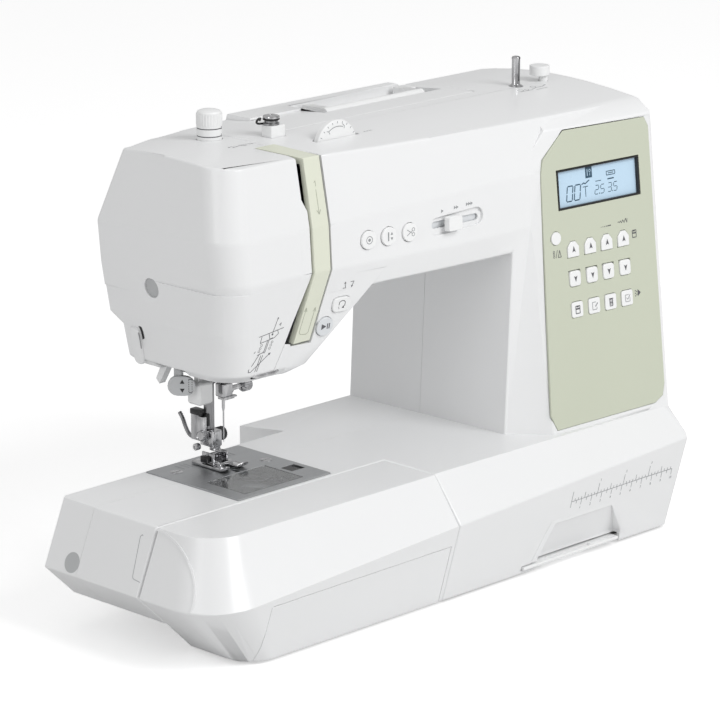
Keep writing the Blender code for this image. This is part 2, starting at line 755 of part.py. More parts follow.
def make_top(front, rear, face, white, metal):
    dial_z = crown_z(DIAL_AT[1])
    dial_foot = dial_z - WALL - 6
    turned("pressure_dial", (*DIAL_AT, dial_foot), (0, 0, 1),
           [(0, DIAL_RISE + 9), (6.2, DIAL_RISE + 8.6), (DIAL_R, DIAL_RISE + 6.5), (DIAL_R, 0), (0, 0)], white)
    cut(face, rod("dial_hole", (*DIAL_AT, dial_z - 12), (*DIAL_AT, dial_z + 8), DIAL_R + GAP, cutter=True))

    tension_z = crown_z(TENSION_Y) - TENSION_DROP
    thick = 4.5
    turned("tension_dial", (TENSION_X, TENSION_Y - thick / 2, tension_z), (0, 1, 0),
           [(0, thick), (TENSION_R - 0.8, thick), (TENSION_R, thick - 0.8), (TENSION_R, 0.8), (TENSION_R - 0.8, 0),
            (0, 0)], white, 32)
    room = TENSION_R + 1.0
    cut(front, box("tension_slot", (TENSION_X - room, TENSION_Y - thick / 2 - 0.6, tension_z - room),
                   (TENSION_X + room, TENSION_Y + thick / 2 + 0.6, tension_z + room + 5), cutter=True))

    winder_z = crown_z(WINDER_AT[1])
    turned("winder_spindle", (*WINDER_AT, winder_z - 12), (0, 0, 1),
           [(0, 31.5), (2.3, 31.5), (2.9, 30.8), (2.9, 13.6), (5.2, 13.3), (5.2, 12.4), (2.6, 12.4),
            (2.6, 5), (7, 5), (7, 0), (0, 0)], metal)
    cut(front, rod("winder_hole", (*WINDER_AT, winder_z - 8), (*WINDER_AT, winder_z + 8), 2.6 + GAP, cutter=True))

    stop_z = crown_z(STOP_AT[1])
    stem = rod("stop_stem", (*STOP_AT, stop_z - 6), (*STOP_AT, stop_z + 4.5), 2.9, cutter=True)
    cap_x = STOP_AT[0] - 2.6
    cap = rod("stop_cap", (cap_x, STOP_AT[1] + 1, stop_z + 4), (cap_x, STOP_AT[1] + 1, stop_z + 10.5), 6.6, cutter=True)
    union("winder_stop", [stem, cap], white)
    cut(front, rod("stop_hole", (*STOP_AT, stop_z - 8), (*STOP_AT, stop_z + 8), 2.9 + GAP, cutter=True))

    x, y = GUIDE_AT
    guide_z = crown_z(y)
    block = box("guide_block", (x - 6, y - 4.6, guide_z - 5), (x + 6, y + 4.6, guide_z + 7.5), cutter=True, bevel=0.6)
    post = rod("guide_post", (x - 1, y + 1, guide_z + 7), (x - 1, y + 1, guide_z + 12), 2.0, cutter=True)
    disc = rod("guide_disc", (x - 1, y + 1, guide_z + 10), (x - 1, y + 1, guide_z + 13), 5.4, cutter=True)
    union("winder_guide", [block, post, disc], metal)
    cut(front, box("guide_hole", (x - 6 - GAP, y - 4.6 - GAP, guide_z - 9), (x + 6 + GAP, y + 4.6 + GAP, guide_z + 9),
                   cutter=True))

    make_handle(rear, white)


def make_handle(rear, white):
    x0, x1 = HANDLE_X
    bar = rod("handle_bar", (x0, HANDLE_Y, HANDLE_Z), (x1, HANDLE_Y, HANDLE_Z), 3.6, cutter=True, segments=16)
    legs = [box("leg", (x - 3, HANDLE_Y, HANDLE_Z - 3), (x + 3, HANDLE_PIVOT_Y + 3, HANDLE_Z + 3), cutter=True)
            for x in (x0 + 3.5, x1 - 3.5)]
    pins = [rod("pin", (x, HANDLE_PIVOT_Y, HANDLE_Z - 2), (x + side * 9, HANDLE_PIVOT_Y, HANDLE_Z - 2), 1.8,
                cutter=True, segments=12) for x, side in ((x0 + 3, -1), (x1 - 3, 1))]
    union("carry_handle", [bar, *legs, *pins], white)
    for x, side in ((x0 + 3, -1), (x1 - 3, 1)):
        boss = box("pin_boss", (min(x + side * 5, x + side * 12), HANDLE_PIVOT_Y - 4, WELL_FLOOR_Z - 1),
                   (max(x + side * 5, x + side * 12), HANDLE_PIVOT_Y + 7, HANDLE_Z + 1.5), cutter=True)
        combine(rear, boss, "UNION")
        cut(rear, rod("pin_hole", (x, HANDLE_PIVOT_Y, HANDLE_Z - 2), (x + side * 9.5, HANDLE_PIVOT_Y, HANDLE_Z - 2),
                      1.8 + GAP, cutter=True, segments=10))


# ---------------------------------------------------------------- frame and drive

BEAM_Y = (124.5, 132.0)
BLOCK_Z = ((163.0, 175.0), (222.0, 234.0))     # needle and presser bar guides
BEARING_X = (-52.0, 190.0)
BEARING_WIDE = 9.0
MOTOR_AT = (150.0, 70.0, 130.0)
MOTOR_R, MOTOR_LONG = 24.0, 60.0
PULLEY_R = 9.0
LOWER_BEARING_X = (-40.0, 150.0)
LOWER_Y = 100.0


def make_frame(cast):
    """Cast frame: base rail, column, arm beam and the bearing blocks that stand out from it."""
    y0, y1 = BEAM_Y
    pieces = [box("beam", (-92, y0, 205), (212, y1, 258), cutter=True),
              box("column", (150, y0, 10), (212, y1, 230), cutter=True),
              box("rail", (-95, y0, 24), (200, y1, 56), cutter=True),
              box("head_plate", (-92, y0, 158), (-60, y1, 230), cutter=True)]
    for low, high in BLOCK_Z:
        pieces.append(box("guide_block", (NEEDLE_X - 9, NEEDLE_Y - 8, low), (NEEDLE_X + 9, y0 + 1, high), cutter=True))
    for x in BEARING_X:
        pieces.append(box("bearing", (x - BEARING_WIDE / 2, SHAFT_Y - 9, SHAFT_Z - 9),
                          (x + BEARING_WIDE / 2, y0 + 1, SHAFT_Z + 9), cutter=True))
    for x in LOWER_BEARING_X:
        pieces.append(box("lower_bearing", (x - 4, LOWER_Y - 8, LOWER_Z - 8), (x + 4, y0 + 1, LOWER_Z + 8), cutter=True))
    frame = union("frame_casting", pieces, cast)
    cut(frame,
        rod("needle_bore", (NEEDLE_X, NEEDLE_Y, 150), (NEEDLE_X, NEEDLE_Y, 250), NEEDLE_BAR_R + FIT, cutter=True),
        rod("presser_bore", (NEEDLE_X, PRESSER_Y, 150), (NEEDLE_X, PRESSER_Y, 250), PRESSER_BAR_R + FIT, cutter=True),
        rod("shaft_bore", (-70, SHAFT_Y, SHAFT_Z), (215, SHAFT_Y, SHAFT_Z), SHAFT_R + FIT, cutter=True),
        rod("lower_bore", (-60, LOWER_Y, LOWER_Z), (215, LOWER_Y, LOWER_Z), SHAFT_R + FIT, cutter=True))
    return frame


def make_drive(front, rear, white, steel, dark):
    end = -64.0
    shaft = rod("shaft", (end, SHAFT_Y, SHAFT_Z), (RIGHT_X + 8, SHAFT_Y, SHAFT_Z), SHAFT_R, cutter=True)
    crank = rod("crank", (end - 3, SHAFT_Y, SHAFT_Z), (end + 2, SHAFT_Y, SHAFT_Z), 11.0, cutter=True)
    pulley = rod("pulley", (168, SHAFT_Y, SHAFT_Z), (180, SHAFT_Y, SHAFT_Z), 18.0, cutter=True, segments=28)
    union("main_shaft", [shaft, crank, pulley], steel)

    wheel = turned("handwheel", (RIGHT_X + 1.2, SHAFT_Y, SHAFT_Z), (1, 0, 0),
                   [(0, 17.5), (15, 17.5), (18, WHEEL_X - RIGHT_X - 1.2), (WHEEL_R - 2.5, WHEEL_X - RIGHT_X - 1.2),
                    (WHEEL_R, WHEEL_X - RIGHT_X - 3.7), (WHEEL_R, 3), (WHEEL_R - 2, 0.0), (0, 0)], white, 32)
    apply(wheel)
    cut(wheel, rod("wheel_bore", (RIGHT_X - 2, SHAFT_Y, SHAFT_Z), (RIGHT_X + 8 + GAP, SHAFT_Y, SHAFT_Z),
                   SHAFT_R + GAP, cutter=True))
    for cover in (front, rear):
        cut(cover, rod("wheel_hole", (RIGHT_X - 8, SHAFT_Y, SHAFT_Z), (RIGHT_X + 8, SHAFT_Y, SHAFT_Z), SHAFT_R + 1.5,
                       cutter=True))

    low_shaft = rod("low", (-54, LOWER_Y, LOWER_Z), (196, LOWER_Y, LOWER_Z), SHAFT_R, cutter=True)
    low_pulley = rod("low_pulley", (168, LOWER_Y, LOWER_Z), (180, LOWER_Y, LOWER_Z), 18.0, cutter=True, segments=28)
    gear = rod("low_gear", (-59, LOWER_Y, LOWER_Z), (-51, LOWER_Y, LOWER_Z), 11.0, cutter=True, segments=24)
    union("lower_shaft", [low_shaft, low_pulley, gear], steel)

    x, y, z = MOTOR_AT
    rod("motor", (x - MOTOR_LONG / 2, y, z), (x + MOTOR_LONG / 2, y, z), MOTOR_R, dark, segments=28)
    face = x + MOTOR_LONG / 2 + GAP
    rod("motor_pulley", (face, y, z), (face + 14, y, z), PULLEY_R, steel)


# ---------------------------------------------------------------- sewing head

def make_head(front, rear, face, steel, chrome, white, dark, grey):
    bar_low, bar_high = 133.0, 262.0
    bar = rod("bar", (NEEDLE_X, NEEDLE_Y, bar_low), (NEEDLE_X, NEEDLE_Y, bar_high), NEEDLE_BAR_R, cutter=True)
    clamp = box("clamp", (NEEDLE_X - 4, NEEDLE_Y - 4.5, 125.5), (NEEDLE_X + 5, NEEDLE_Y + 3.3, 135.5), cutter=True,
                bevel=0.8)
    screw = rod("clamp_screw", (NEEDLE_X + 4, NEEDLE_Y, 130), (NEEDLE_X + 16, NEEDLE_Y, 130), 1.8, cutter=True)
    knob = rod("clamp_knob", (NEEDLE_X + 15, NEEDLE_Y, 130), (NEEDLE_X + 22, NEEDLE_Y, 130), 4.4, cutter=True)
    union("needle_bar", [bar, clamp, screw, knob], chrome)

    shank = rod("shank", (NEEDLE_X, NEEDLE_Y, 125.5 - GAP), (NEEDLE_X, NEEDLE_Y, 118), 1.0, cutter=True, segments=12)
    taper = rod("blade", (NEEDLE_X, NEEDLE_Y, 119), (NEEDLE_X, NEEDLE_Y, 103), 0.75, cutter=True, end_radius=0.5,
                segments=12)
    tip = rod("tip", (NEEDLE_X, NEEDLE_Y, 103.5), (NEEDLE_X, NEEDLE_Y, NEEDLE_TIP_Z), 0.5, cutter=True,
              end_radius=0.08, segments=12)
    union("needle", [shank, taper, tip], steel)

    foot_z = PLATE_TOP_Z + 0.4
    presser = rod("presser", (NEEDLE_X, PRESSER_Y, 103), (NEEDLE_X, PRESSER_Y, 264), PRESSER_BAR_R, cutter=True)
    collar = box("collar", (NEEDLE_X - 7, PRESSER_Y - 2, 186), (NEEDLE_X + 5, PRESSER_Y + 3.6, 194), cutter=True)
    union("presser_bar", [presser, collar], chrome)

    holder_z0, holder_z1 = foot_z + 9.2, 118.0
    body = box("ankle", (NEEDLE_X - 4.6, PRESSER_Y - 9.2, holder_z0 + 3), (NEEDLE_X + 4.6, PRESSER_Y - 3.6, 102.4),
               cutter=True, bevel=0.6)
    heel = box("heel", (NEEDLE_X - 4.6, PRESSER_Y - 4.2, holder_z0 + 3), (NEEDLE_X + 4.6, PRESSER_Y + 4, 102.4),
               cutter=True, bevel=0.6)
    side = box("holder_side", (NEEDLE_X - 8.0, PRESSER_Y - 3, holder_z0 + 5), (NEEDLE_X - 4.0, PRESSER_Y + 9, 116),
               cutter=True, bevel=0.6)
    thumb = rod("thumb_screw", (NEEDLE_X + 4, PRESSER_Y - 1, 98), (NEEDLE_X + 12, PRESSER_Y - 1, 98), 4.6, cutter=True)
    pivot_z = foot_z + 7.0
    neck = box("ankle_neck", (NEEDLE_X - 3.4, PRESSER_Y - 8.4, pivot_z + 1.9), (NEEDLE_X + 3.4, PRESSER_Y - 1.5, 97),
               cutter=True)
    holder = union("foot_holder", [body, heel, neck, side, thumb], chrome)
    holder.name = "foot_holder"

    toe_y, heel_y = 94.8, 127.5
    half = 10.0
    sole = prism("sole", [(toe_y, foot_z + 1.6), (104, foot_z), (120, foot_z), (heel_y, foot_z + 1.0),
                          (heel_y, foot_z + 2.4), (120, foot_z + 1.8), (104, foot_z + 1.8), (toe_y, foot_z + 3.2)],
                 NEEDLE_X - half, NEEDLE_X + half, "X", cutter=True)
    ears = [box("ear", (NEEDLE_X + s * 5.2 - 0.9, PRESSER_Y - 9, foot_z + 1), (NEEDLE_X + s * 5.2 + 0.9,
            PRESSER_Y, pivot_z + 2.2), cutter=True) for s in (-1, 1)]
    pin = rod("foot_pin", (NEEDLE_X - 5.5, PRESSER_Y - 5, pivot_z), (NEEDLE_X + 5.5, PRESSER_Y - 5, pivot_z), 1.1,
              cutter=True, segments=12)
    foot = union("presser_foot", [sole, *ears, pin], chrome)
    cut(foot, box("needle_slot", (NEEDLE_X - 5, NEEDLE_Y - 1.8, foot_z - 1), (NEEDLE_X + 5, NEEDLE_Y + 1.8, foot_z + 3),
                  cutter=True),
        box("toe_gap", (NEEDLE_X - 1.2, toe_y - 1, foot_z - 1), (NEEDLE_X + 1.2, NEEDLE_Y, foot_z + 5), cutter=True))

    lifter_y = 133.0
    lever = prism("lever", [(lifter_y, 190), (lifter_y + 5, 190), (lifter_y + 5, 150), (lifter_y + 13, 134),
                            (lifter_y + 10, 131), (lifter_y, 148)], NEEDLE_X - 20, NEEDLE_X - 15, "X", cutter=True)
    hub = rod("lifter_hub", (NEEDLE_X - 21, lifter_y + 2.5, 188), (NEEDLE_X - 14, lifter_y + 2.5, 188), 4.0, cutter=True)
    union("presser_lifter", [lever, hub], white)

    threader_x = NEEDLE_X - 16
    stem = box("threader_stem", (threader_x - 2, 110, 137), (threader_x + 2, 114, 200), cutter=True)
    tab = box("threader_tab", (threader_x - 6.5, 104, 124.5), (threader_x + 5.5, 116, 138.5), cutter=True, bevel=1.5)
    union("needle_threader", [stem, tab], white)

    bh_x = NEEDLE_X - 30
    stem = box("bh_stem", (bh_x - 1, 112, 139), (bh_x + 1.5, 118, 185), cutter=True)
    tab = stud("bh_tab", capsule(17, 12.5), (bh_x, 112, 138), Vector((-0.75, -0.66, 0)).normalized(), -1.5, 1.5,
               cutter=True)
    union("buttonhole_lever", [stem, tab], grey)

    pivot = (-60.5, 86.0, 232.0)
    arm = prism("take_up_arm", [(pivot[1], pivot[2] - 4), (pivot[1] + 4, pivot[2]), (pivot[1], pivot[2] + 4),
                                (64, 252), (60, 249)], -62.0, -60.0, "X", cutter=True)
    hub = rod("take_up_hub", (-63.5, pivot[1], pivot[2]), (-57.5, pivot[1], pivot[2]), 4.5, cutter=True)
    union("take_up_lever", [arm, hub], steel)

    under = HEAD_BOTTOM_Z - 8
    for cover in (front, rear, face):
        cut(cover, box("bar_window", (NEEDLE_X - 11, NEEDLE_Y - 8, under), (NEEDLE_X + 26, PRESSER_Y + 8, 158),
                       cutter=True))
    cut(face,
        box("threader_window", (threader_x - 8, 102, under), (threader_x + 7, 118, 158), cutter=True),
        box("bh_window", (bh_x - 9, 100, under), (bh_x + 9, 125, 160), cutter=True),
        box("lifter_window", (NEEDLE_X - 22, 128, under), (NEEDLE_X - 13, 160, 185), cutter=True))


# ---------------------------------------------------------------- bed

COVER_X, COVER_Y = (-111.0, -62.0), (58.0, 92.0)


def make_bed(front, rear, steel, dark, clear, metal):
    x0, x1 = PLATE_X
    y0, y1 = PLATE_Y
    low = PLATE_TOP_Z - PLATE_THICK
    plate = box("needle_plate", (x0, y0, low), (x1, y1, PLATE_TOP_Z), steel)
    for cover in (front, rear):
        cut(cover, box("plate_rebate", (x0 - GAP, y0 - GAP, low - GAP), (x1 + GAP, y1 + GAP, BED_Z + 5), cutter=True),
            box("bed_opening", (x0 + 4, y0 + 3.5, BED_Z - 8), (x1 - 4, y1 - 9, BED_Z + 5), cutter=True))
    cx0, cx1 = COVER_X
    cy0, cy1 = COVER_Y
    cut(plate, box("cover_opening", (cx0 - GAP, cy0 - GAP, low - 2), (cx1 + GAP, cy1 + GAP, PLATE_TOP_Z + 2), cutter=True))
    for x, y, long_y in ((-88.5, 108, 20), (-75.5, 108, 20), (-82, 96.8, 6)):
        cut(plate, box("feed_slot", (x - 1.8, y - long_y / 2, low - 2), (x + 1.8, y + long_y / 2, PLATE_TOP_Z + 2),
                       cutter=True))
    cut(plate, box("needle_slot", (NEEDLE_X - 4.5, NEEDLE_Y - 1.0, low - 2), (NEEDLE_X + 4.5, NEEDLE_Y + 1.0,
                   PLATE_TOP_Z + 2), cutter=True))

    lx0, lx1, ly0, ly1 = -58.6, -51.4, 71.2, 81.0
    cut(plate, box("latch_slot", (lx0 - GAP, ly0 - GAP, low - 2), (lx1 + GAP + 3.5, ly1 + GAP, PLATE_TOP_Z + 2), cutter=True))
    box("cover_latch", (lx0, ly0, low - 1.2), (lx1, ly1, PLATE_TOP_Z - 0.2), dark)

    box("bobbin_cover", (cx0, cy0, low + 0.2), (cx1, cy1, PLATE_TOP_Z), clear)

    teeth = [box("teeth", (x - 1.3, y - long_y / 2, low - 4), (x + 1.3, y + long_y / 2, PLATE_TOP_Z - 0.3), cutter=True)
             for x, y, long_y in ((-88.5, 108, 14), (-75.5, 108, 14))]
    bridge = box("feed_bridge", (-91, 112, low - 8), (-73, 118, low - 3.5), cutter=True)
    union("feed_dog", [*teeth, bridge], metal)

    hook_z0, hook_z1 = 56.0, 75.0
    ring = turned("hook", (HOOK_X, HOOK_Y, hook_z0), (0, 0, 1),
                  [(0, 4), (HOOK_R - 4, 4), (HOOK_R - 4, hook_z1 - hook_z0), (HOOK_R, hook_z1 - hook_z0),
                   (HOOK_R, 2), (6, 0), (6, -8), (0, -8)], metal, 28)
    ring.name = "hook"
    turned("bobbin_case", (HOOK_X, HOOK_Y, hook_z0 + 4 + GAP), (0, 0, 1),
           [(0, 1.5), (HOOK_R - 9, 1.5), (HOOK_R - 9, 14), (HOOK_R - 5, 14), (HOOK_R - 5, 0), (0, 0)], dark, 28)
    turned("bobbin", (HOOK_X, HOOK_Y, hook_z0 + 4 + GAP + 1.5 + GAP), (0, 0, 1),
           [(0, 10), (10, 10), (10, 9), (5.5, 9), (5.5, 1), (10, 1), (10, 0), (0, 0)], clear, 24)


# ---------------------------------------------------------------- extension table and base

TABLE_GAP_X = -0.3


def table_ring(z_rule, left, front, corner, inset, rear=None):
    rear = ARM_FRONT_Y - GAP if rear is None else rear
    points = [(x, y, z_rule(x)) for x, y in arc((left + corner, front + corner), corner, 180, 270, 6)]
    points += [(TABLE_GAP_X, front, z_rule(TABLE_GAP_X)), (TABLE_GAP_X, rear, z_rule(TABLE_GAP_X)),
               (left, rear, z_rule(left))]
    return inset_ring(points, inset)


def table_crease(x):
    share = min(max((x - LEFT_X) / 180, 0.0), 1.0)
    return ARM_CREASE_Z + (BASE_CREASE_Z - ARM_CREASE_Z) * share


def table_body(inset):
    rings = [
        table_ring(lambda x: inset, TABLE_BOTTOM_LEFT_X, -0.8, 20, inset),
        table_ring(table_crease, LEFT_X, FRONT_Y, 34, inset),
        table_ring(lambda x: BED_Z - inset, ARM_TOP_LEFT_X, 5.2, 25, inset),
    ]
    return loft("table_body", rings, cutter=True)


DOOR_TOP_Z = 38.0
DOOR_X = (-158.0, -3.6)
DOOR_BACK_Y = 3.0
TRAY_X, TRAY_Z = (72.0, 163.0), (2.4, 4.4)
TRAY_LONG = 88.0


def make_extension(white):
    table = table_body(0.0)
    combine(table, table_body(WALL))
    table = union("extension_table", [table], white)
    door = intersection("accessory_door", table,
                        box("zone_door", (DOOR_X[0], -40, -1), (DOOR_X[1], DOOR_BACK_Y, DOOR_TOP_Z), cutter=True), white)
    cut(table, box("door_opening", (DOOR_X[0] - GAP, -40, -2), (DOOR_X[1] + GAP, DOOR_BACK_Y + GAP,
                   DOOR_TOP_Z + GAP), cutter=True))
    return table, door


def make_base(front, rear, white, rubber, dark):
    plate_points = [(6, 6), (208, 6), (212, 10), (212, 150), (208, 154), (6, 154)]
    prism("bottom_plate", plate_points, 0.3, 2.0, "Z", white)

    tx0, tx1 = TRAY_X
    tray = box("chart_tray", (tx0, -3.5, TRAY_Z[0]), (tx1, TRAY_LONG, TRAY_Z[1]), white)
    lead = -12.0
    scoop = loft("scoop", [
        [(84, lead - 20, -3), (167, lead - 20, -3), (167, 2.4, -3), (84, 2.4, -3)],
        [(84, lead - 20, 8), (167, lead - 20, 8), (165, 3.0, 8), (86, 3.0, 8)],
        [(96, lead - 20, 28.5), (153, lead - 20, 28.5), (152, -6.5, 28.5), (97, -6.5, 28.5)]], cutter=True)
    pocket = loft("scoop_wall", [
        [(80, -10, 5.5), (171, -10, 5.5), (171, 6.4, 5.5), (80, 6.4, 5.5)],
        [(93, -12, 31), (156, -12, 31), (156, -1.5, 31), (93, -1.5, 31)]], cutter=True)
    clip = base_body(0.4)
    combine(pocket, clip, "INTERSECT")
    combine(front, pocket, "UNION")
    cut(front, scoop, box("tray_slot", (tx0 - 0.6, -30, TRAY_Z[0] - 0.4), (tx1 + 0.6, 30, TRAY_Z[1] + 0.6), cutter=True))

    strips = [box("foot_strip", low, high, cutter=True) for low, high in (
        ((14, 12, -FOOT_HEIGHT), (204, 24, 0)), ((14, 138, -FOOT_HEIGHT), (204, 150, 0)),
        ((104, 20, -0.8), (114, 142, 0)))]
    union("rubber_feet", strips, rubber)

    inlet_y, inlet_z = 60.0, 40.0
    body = box("inlet_body", (RIGHT_X - 24, inlet_y - 14, inlet_z - 10), (RIGHT_X + 0.2, inlet_y + 14, inlet_z + 10),
               cutter=True)
    union("power_inlet", [body], dark)
    inlet = bpy.data.objects["power_inlet"]
    cut(inlet, box("inlet_socket", (RIGHT_X - 16, inlet_y - 10, inlet_z - 6), (RIGHT_X + 5, inlet_y + 10, inlet_z + 6),
                   cutter=True))
    cut(front, box("inlet_hole", (RIGHT_X - 30, inlet_y - 14 - GAP, inlet_z - 10 - GAP),
                   (RIGHT_X + 8, inlet_y + 14 + GAP, inlet_z + 10 + GAP), cutter=True))

    switch_y, switch_z = 84.0, 60.0
    rocker = prism("power_switch", [(RIGHT_X - 3, switch_y - 5.5), (RIGHT_X + 1.4, switch_y - 5.5),
                                    (RIGHT_X + 0.3, switch_y), (RIGHT_X + 1.4, switch_y + 5.5),
                                    (RIGHT_X - 3, switch_y + 5.5), (RIGHT_X - 7, switch_y)],
                   switch_z - 4, switch_z + 4, "Z", dark)
    rocker.name = "power_switch"
    cut(front, box("switch_hole", (RIGHT_X - 12, switch_y - 7, switch_z - 4 - GAP),
                   (RIGHT_X + 8, switch_y + 7, switch_z + 4 + GAP), cutter=True))


def main():
    clear_scene()
    white = plastic("white_plastic", (0.88, 0.88, 0.87), 0.35)
    green = plastic("sage_plastic", (0.66, 0.70, 0.56), 0.4)
    grey = plastic("grey_plastic", (0.55, 0.56, 0.57), 0.4)
    dark = plastic("dark_plastic", (0.03, 0.03, 0.03), 0.45)
    steel = plastic("brushed_steel", (0.56, 0.56, 0.57), 0.3, 1.0)
    chrome = plastic("chrome", (0.78, 0.79, 0.8), 0.12, 1.0)
    cast = plastic("cast_aluminium", (0.5, 0.51, 0.52), 0.6, 1.0)
    clear = plastic("clear_plastic", (0.8, 0.82, 0.84), 0.1)
    board_green = plastic("circuit_board", (0.03, 0.2, 0.09), 0.4)
    rubber = plastic("rubber", (0.05, 0.05, 0.05), 0.8)

    front, rear, face = make_housing(white)
    for cover in (front, face):
        cut(cover, strip_cutter("strip_cut"), prism("upper_slot", TAKE_UP_SLOT, -60, SLOT_BACK_Y, "Y", cutter=True),
            prism("lower_slot", LOWER_SLOT, -60, SLOT_BACK_Y, "Y", cutter=True))
    make_strip(green)
    make_controls(front, green, white, grey, board_green)
    make_top(front, rear, face, white, chrome)
    make_frame(cast)
    make_drive(front, rear, white, steel, dark)
    make_head(front, rear, face, steel, chrome, white, dark, grey)
    make_bed(front, rear, steel, dark, clear, chrome)
    make_extension(white)
    make_base(front, rear, white, rubber, dark)
    for cover in (front, rear, face):
        tidy(cover)


main()
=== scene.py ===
"""Looks of a free-arm computerised sewing machine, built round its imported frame.

Sizes are in millimetres, measured from the seam between the bed and the extension table: X right, Y away
from the person who sews, Z up from the underside of the housing. spot() turns them into the frame's metres.
"""

import json
import math

import bpy
from mathutils import Matrix, Vector
from mathutils.bvhtree import BVHTree


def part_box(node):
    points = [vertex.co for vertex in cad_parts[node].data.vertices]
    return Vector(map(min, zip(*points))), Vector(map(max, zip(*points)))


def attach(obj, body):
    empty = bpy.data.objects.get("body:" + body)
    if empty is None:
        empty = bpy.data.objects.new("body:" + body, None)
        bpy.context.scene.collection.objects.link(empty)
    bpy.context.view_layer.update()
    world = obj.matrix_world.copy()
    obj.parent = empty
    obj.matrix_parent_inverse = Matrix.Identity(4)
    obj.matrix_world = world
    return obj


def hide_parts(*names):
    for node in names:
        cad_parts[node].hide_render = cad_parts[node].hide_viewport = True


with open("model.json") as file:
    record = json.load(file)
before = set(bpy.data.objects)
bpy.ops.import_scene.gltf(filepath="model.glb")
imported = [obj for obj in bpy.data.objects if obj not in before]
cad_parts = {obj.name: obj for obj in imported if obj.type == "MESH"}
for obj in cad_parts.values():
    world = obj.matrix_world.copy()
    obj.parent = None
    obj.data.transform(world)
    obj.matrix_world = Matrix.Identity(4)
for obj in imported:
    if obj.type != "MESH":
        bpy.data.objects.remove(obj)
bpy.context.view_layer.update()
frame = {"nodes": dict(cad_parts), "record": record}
NODES = frame["nodes"]
ops = bpy.ops

MM = 0.001
CENTRE_X, CENTRE_Y, FOOT_HEIGHT = 18.5, 75.75, 2.0
UP = Vector((0, 0, 1))


def spot(x, y, z):
    return Vector(((x - CENTRE_X) * MM, (y - CENTRE_Y) * MM, (z + FOOT_HEIGHT) * MM))


def back(point):
    """A point of the frame, in millimetres from the bed's seam."""
    return Vector((point.x / MM + CENTRE_X, point.y / MM + CENTRE_Y, point.z / MM - FOOT_HEIGHT))


# ---------------------------------------------------------------- finishes

def add_group(name, inputs, outputs):
    """Empty node group with named value and colour sockets."""
    group = bpy.data.node_groups.new(name, "ShaderNodeTree")
    for label, kind, value in inputs:
        socket = group.interface.new_socket(name=label, in_out="INPUT", socket_type=kind)
        if kind != "NodeSocketVector":
            socket.default_value = value
    for label, kind in outputs:
        group.interface.new_socket(name=label, in_out="OUTPUT", socket_type=kind)
    return group


def link_nodes(group, pairs):
    for source, target in pairs:
        group.links.new(source, target)


def moulded_grain():
    """Spark-eroded plastic: fine grain, slow change of shade and of gloss."""
    group = add_group("moulded_grain", [
        ("Colour", "NodeSocketColor", (0.8, 0.8, 0.8, 1)), ("Grain Size", "NodeSocketFloat", 1800.0),
        ("Shade Change", "NodeSocketFloat", 0.03), ("Gloss Change", "NodeSocketFloat", 0.06),
        ("Roughness", "NodeSocketFloat", 0.4)],
        [("Colour", "NodeSocketColor"), ("Roughness", "NodeSocketFloat"), ("Height", "NodeSocketFloat")])
    new = group.nodes.new
    given, result = new("NodeGroupInput"), new("NodeGroupOutput")
    place = new("ShaderNodeTexCoord")
    grain, slow = new("ShaderNodeTexNoise"), new("ShaderNodeTexNoise")
    grain.inputs["Detail"].default_value = 3.0
    slow.inputs["Scale"].default_value = 14.0
    slow.inputs["Detail"].default_value = 4.0
    shade, dark, mix = new("ShaderNodeMapRange"), new("ShaderNodeMix"), new("ShaderNodeMath")
    dark.data_type = "RGBA"
    dark.blend_type = "MULTIPLY"
    dark.inputs["B"].default_value = (0.55, 0.55, 0.53, 1)
    shade.inputs["From Min"].default_value = 0.35
    shade.inputs["From Max"].default_value = 0.75
    mix.operation = "MULTIPLY_ADD"
    link_nodes(group, [
        (place.outputs["Object"], grain.inputs["Vector"]), (place.outputs["Object"], slow.inputs["Vector"]),
        (given.outputs["Grain Size"], grain.inputs["Scale"]), (slow.outputs["Fac"], shade.inputs["Value"]),
        (given.outputs["Shade Change"], shade.inputs["To Max"]), (shade.outputs["Result"], dark.inputs["Factor"]),
        (given.outputs["Colour"], dark.inputs["A"]), (slow.outputs["Fac"], mix.inputs[0]),
        (given.outputs["Gloss Change"], mix.inputs[1]), (given.outputs["Roughness"], mix.inputs[2]),
        (dark.outputs["Result"], result.inputs["Colour"]), (mix.outputs["Value"], result.inputs["Roughness"]),
        (grain.outputs["Fac"], result.inputs["Height"])])
    return group


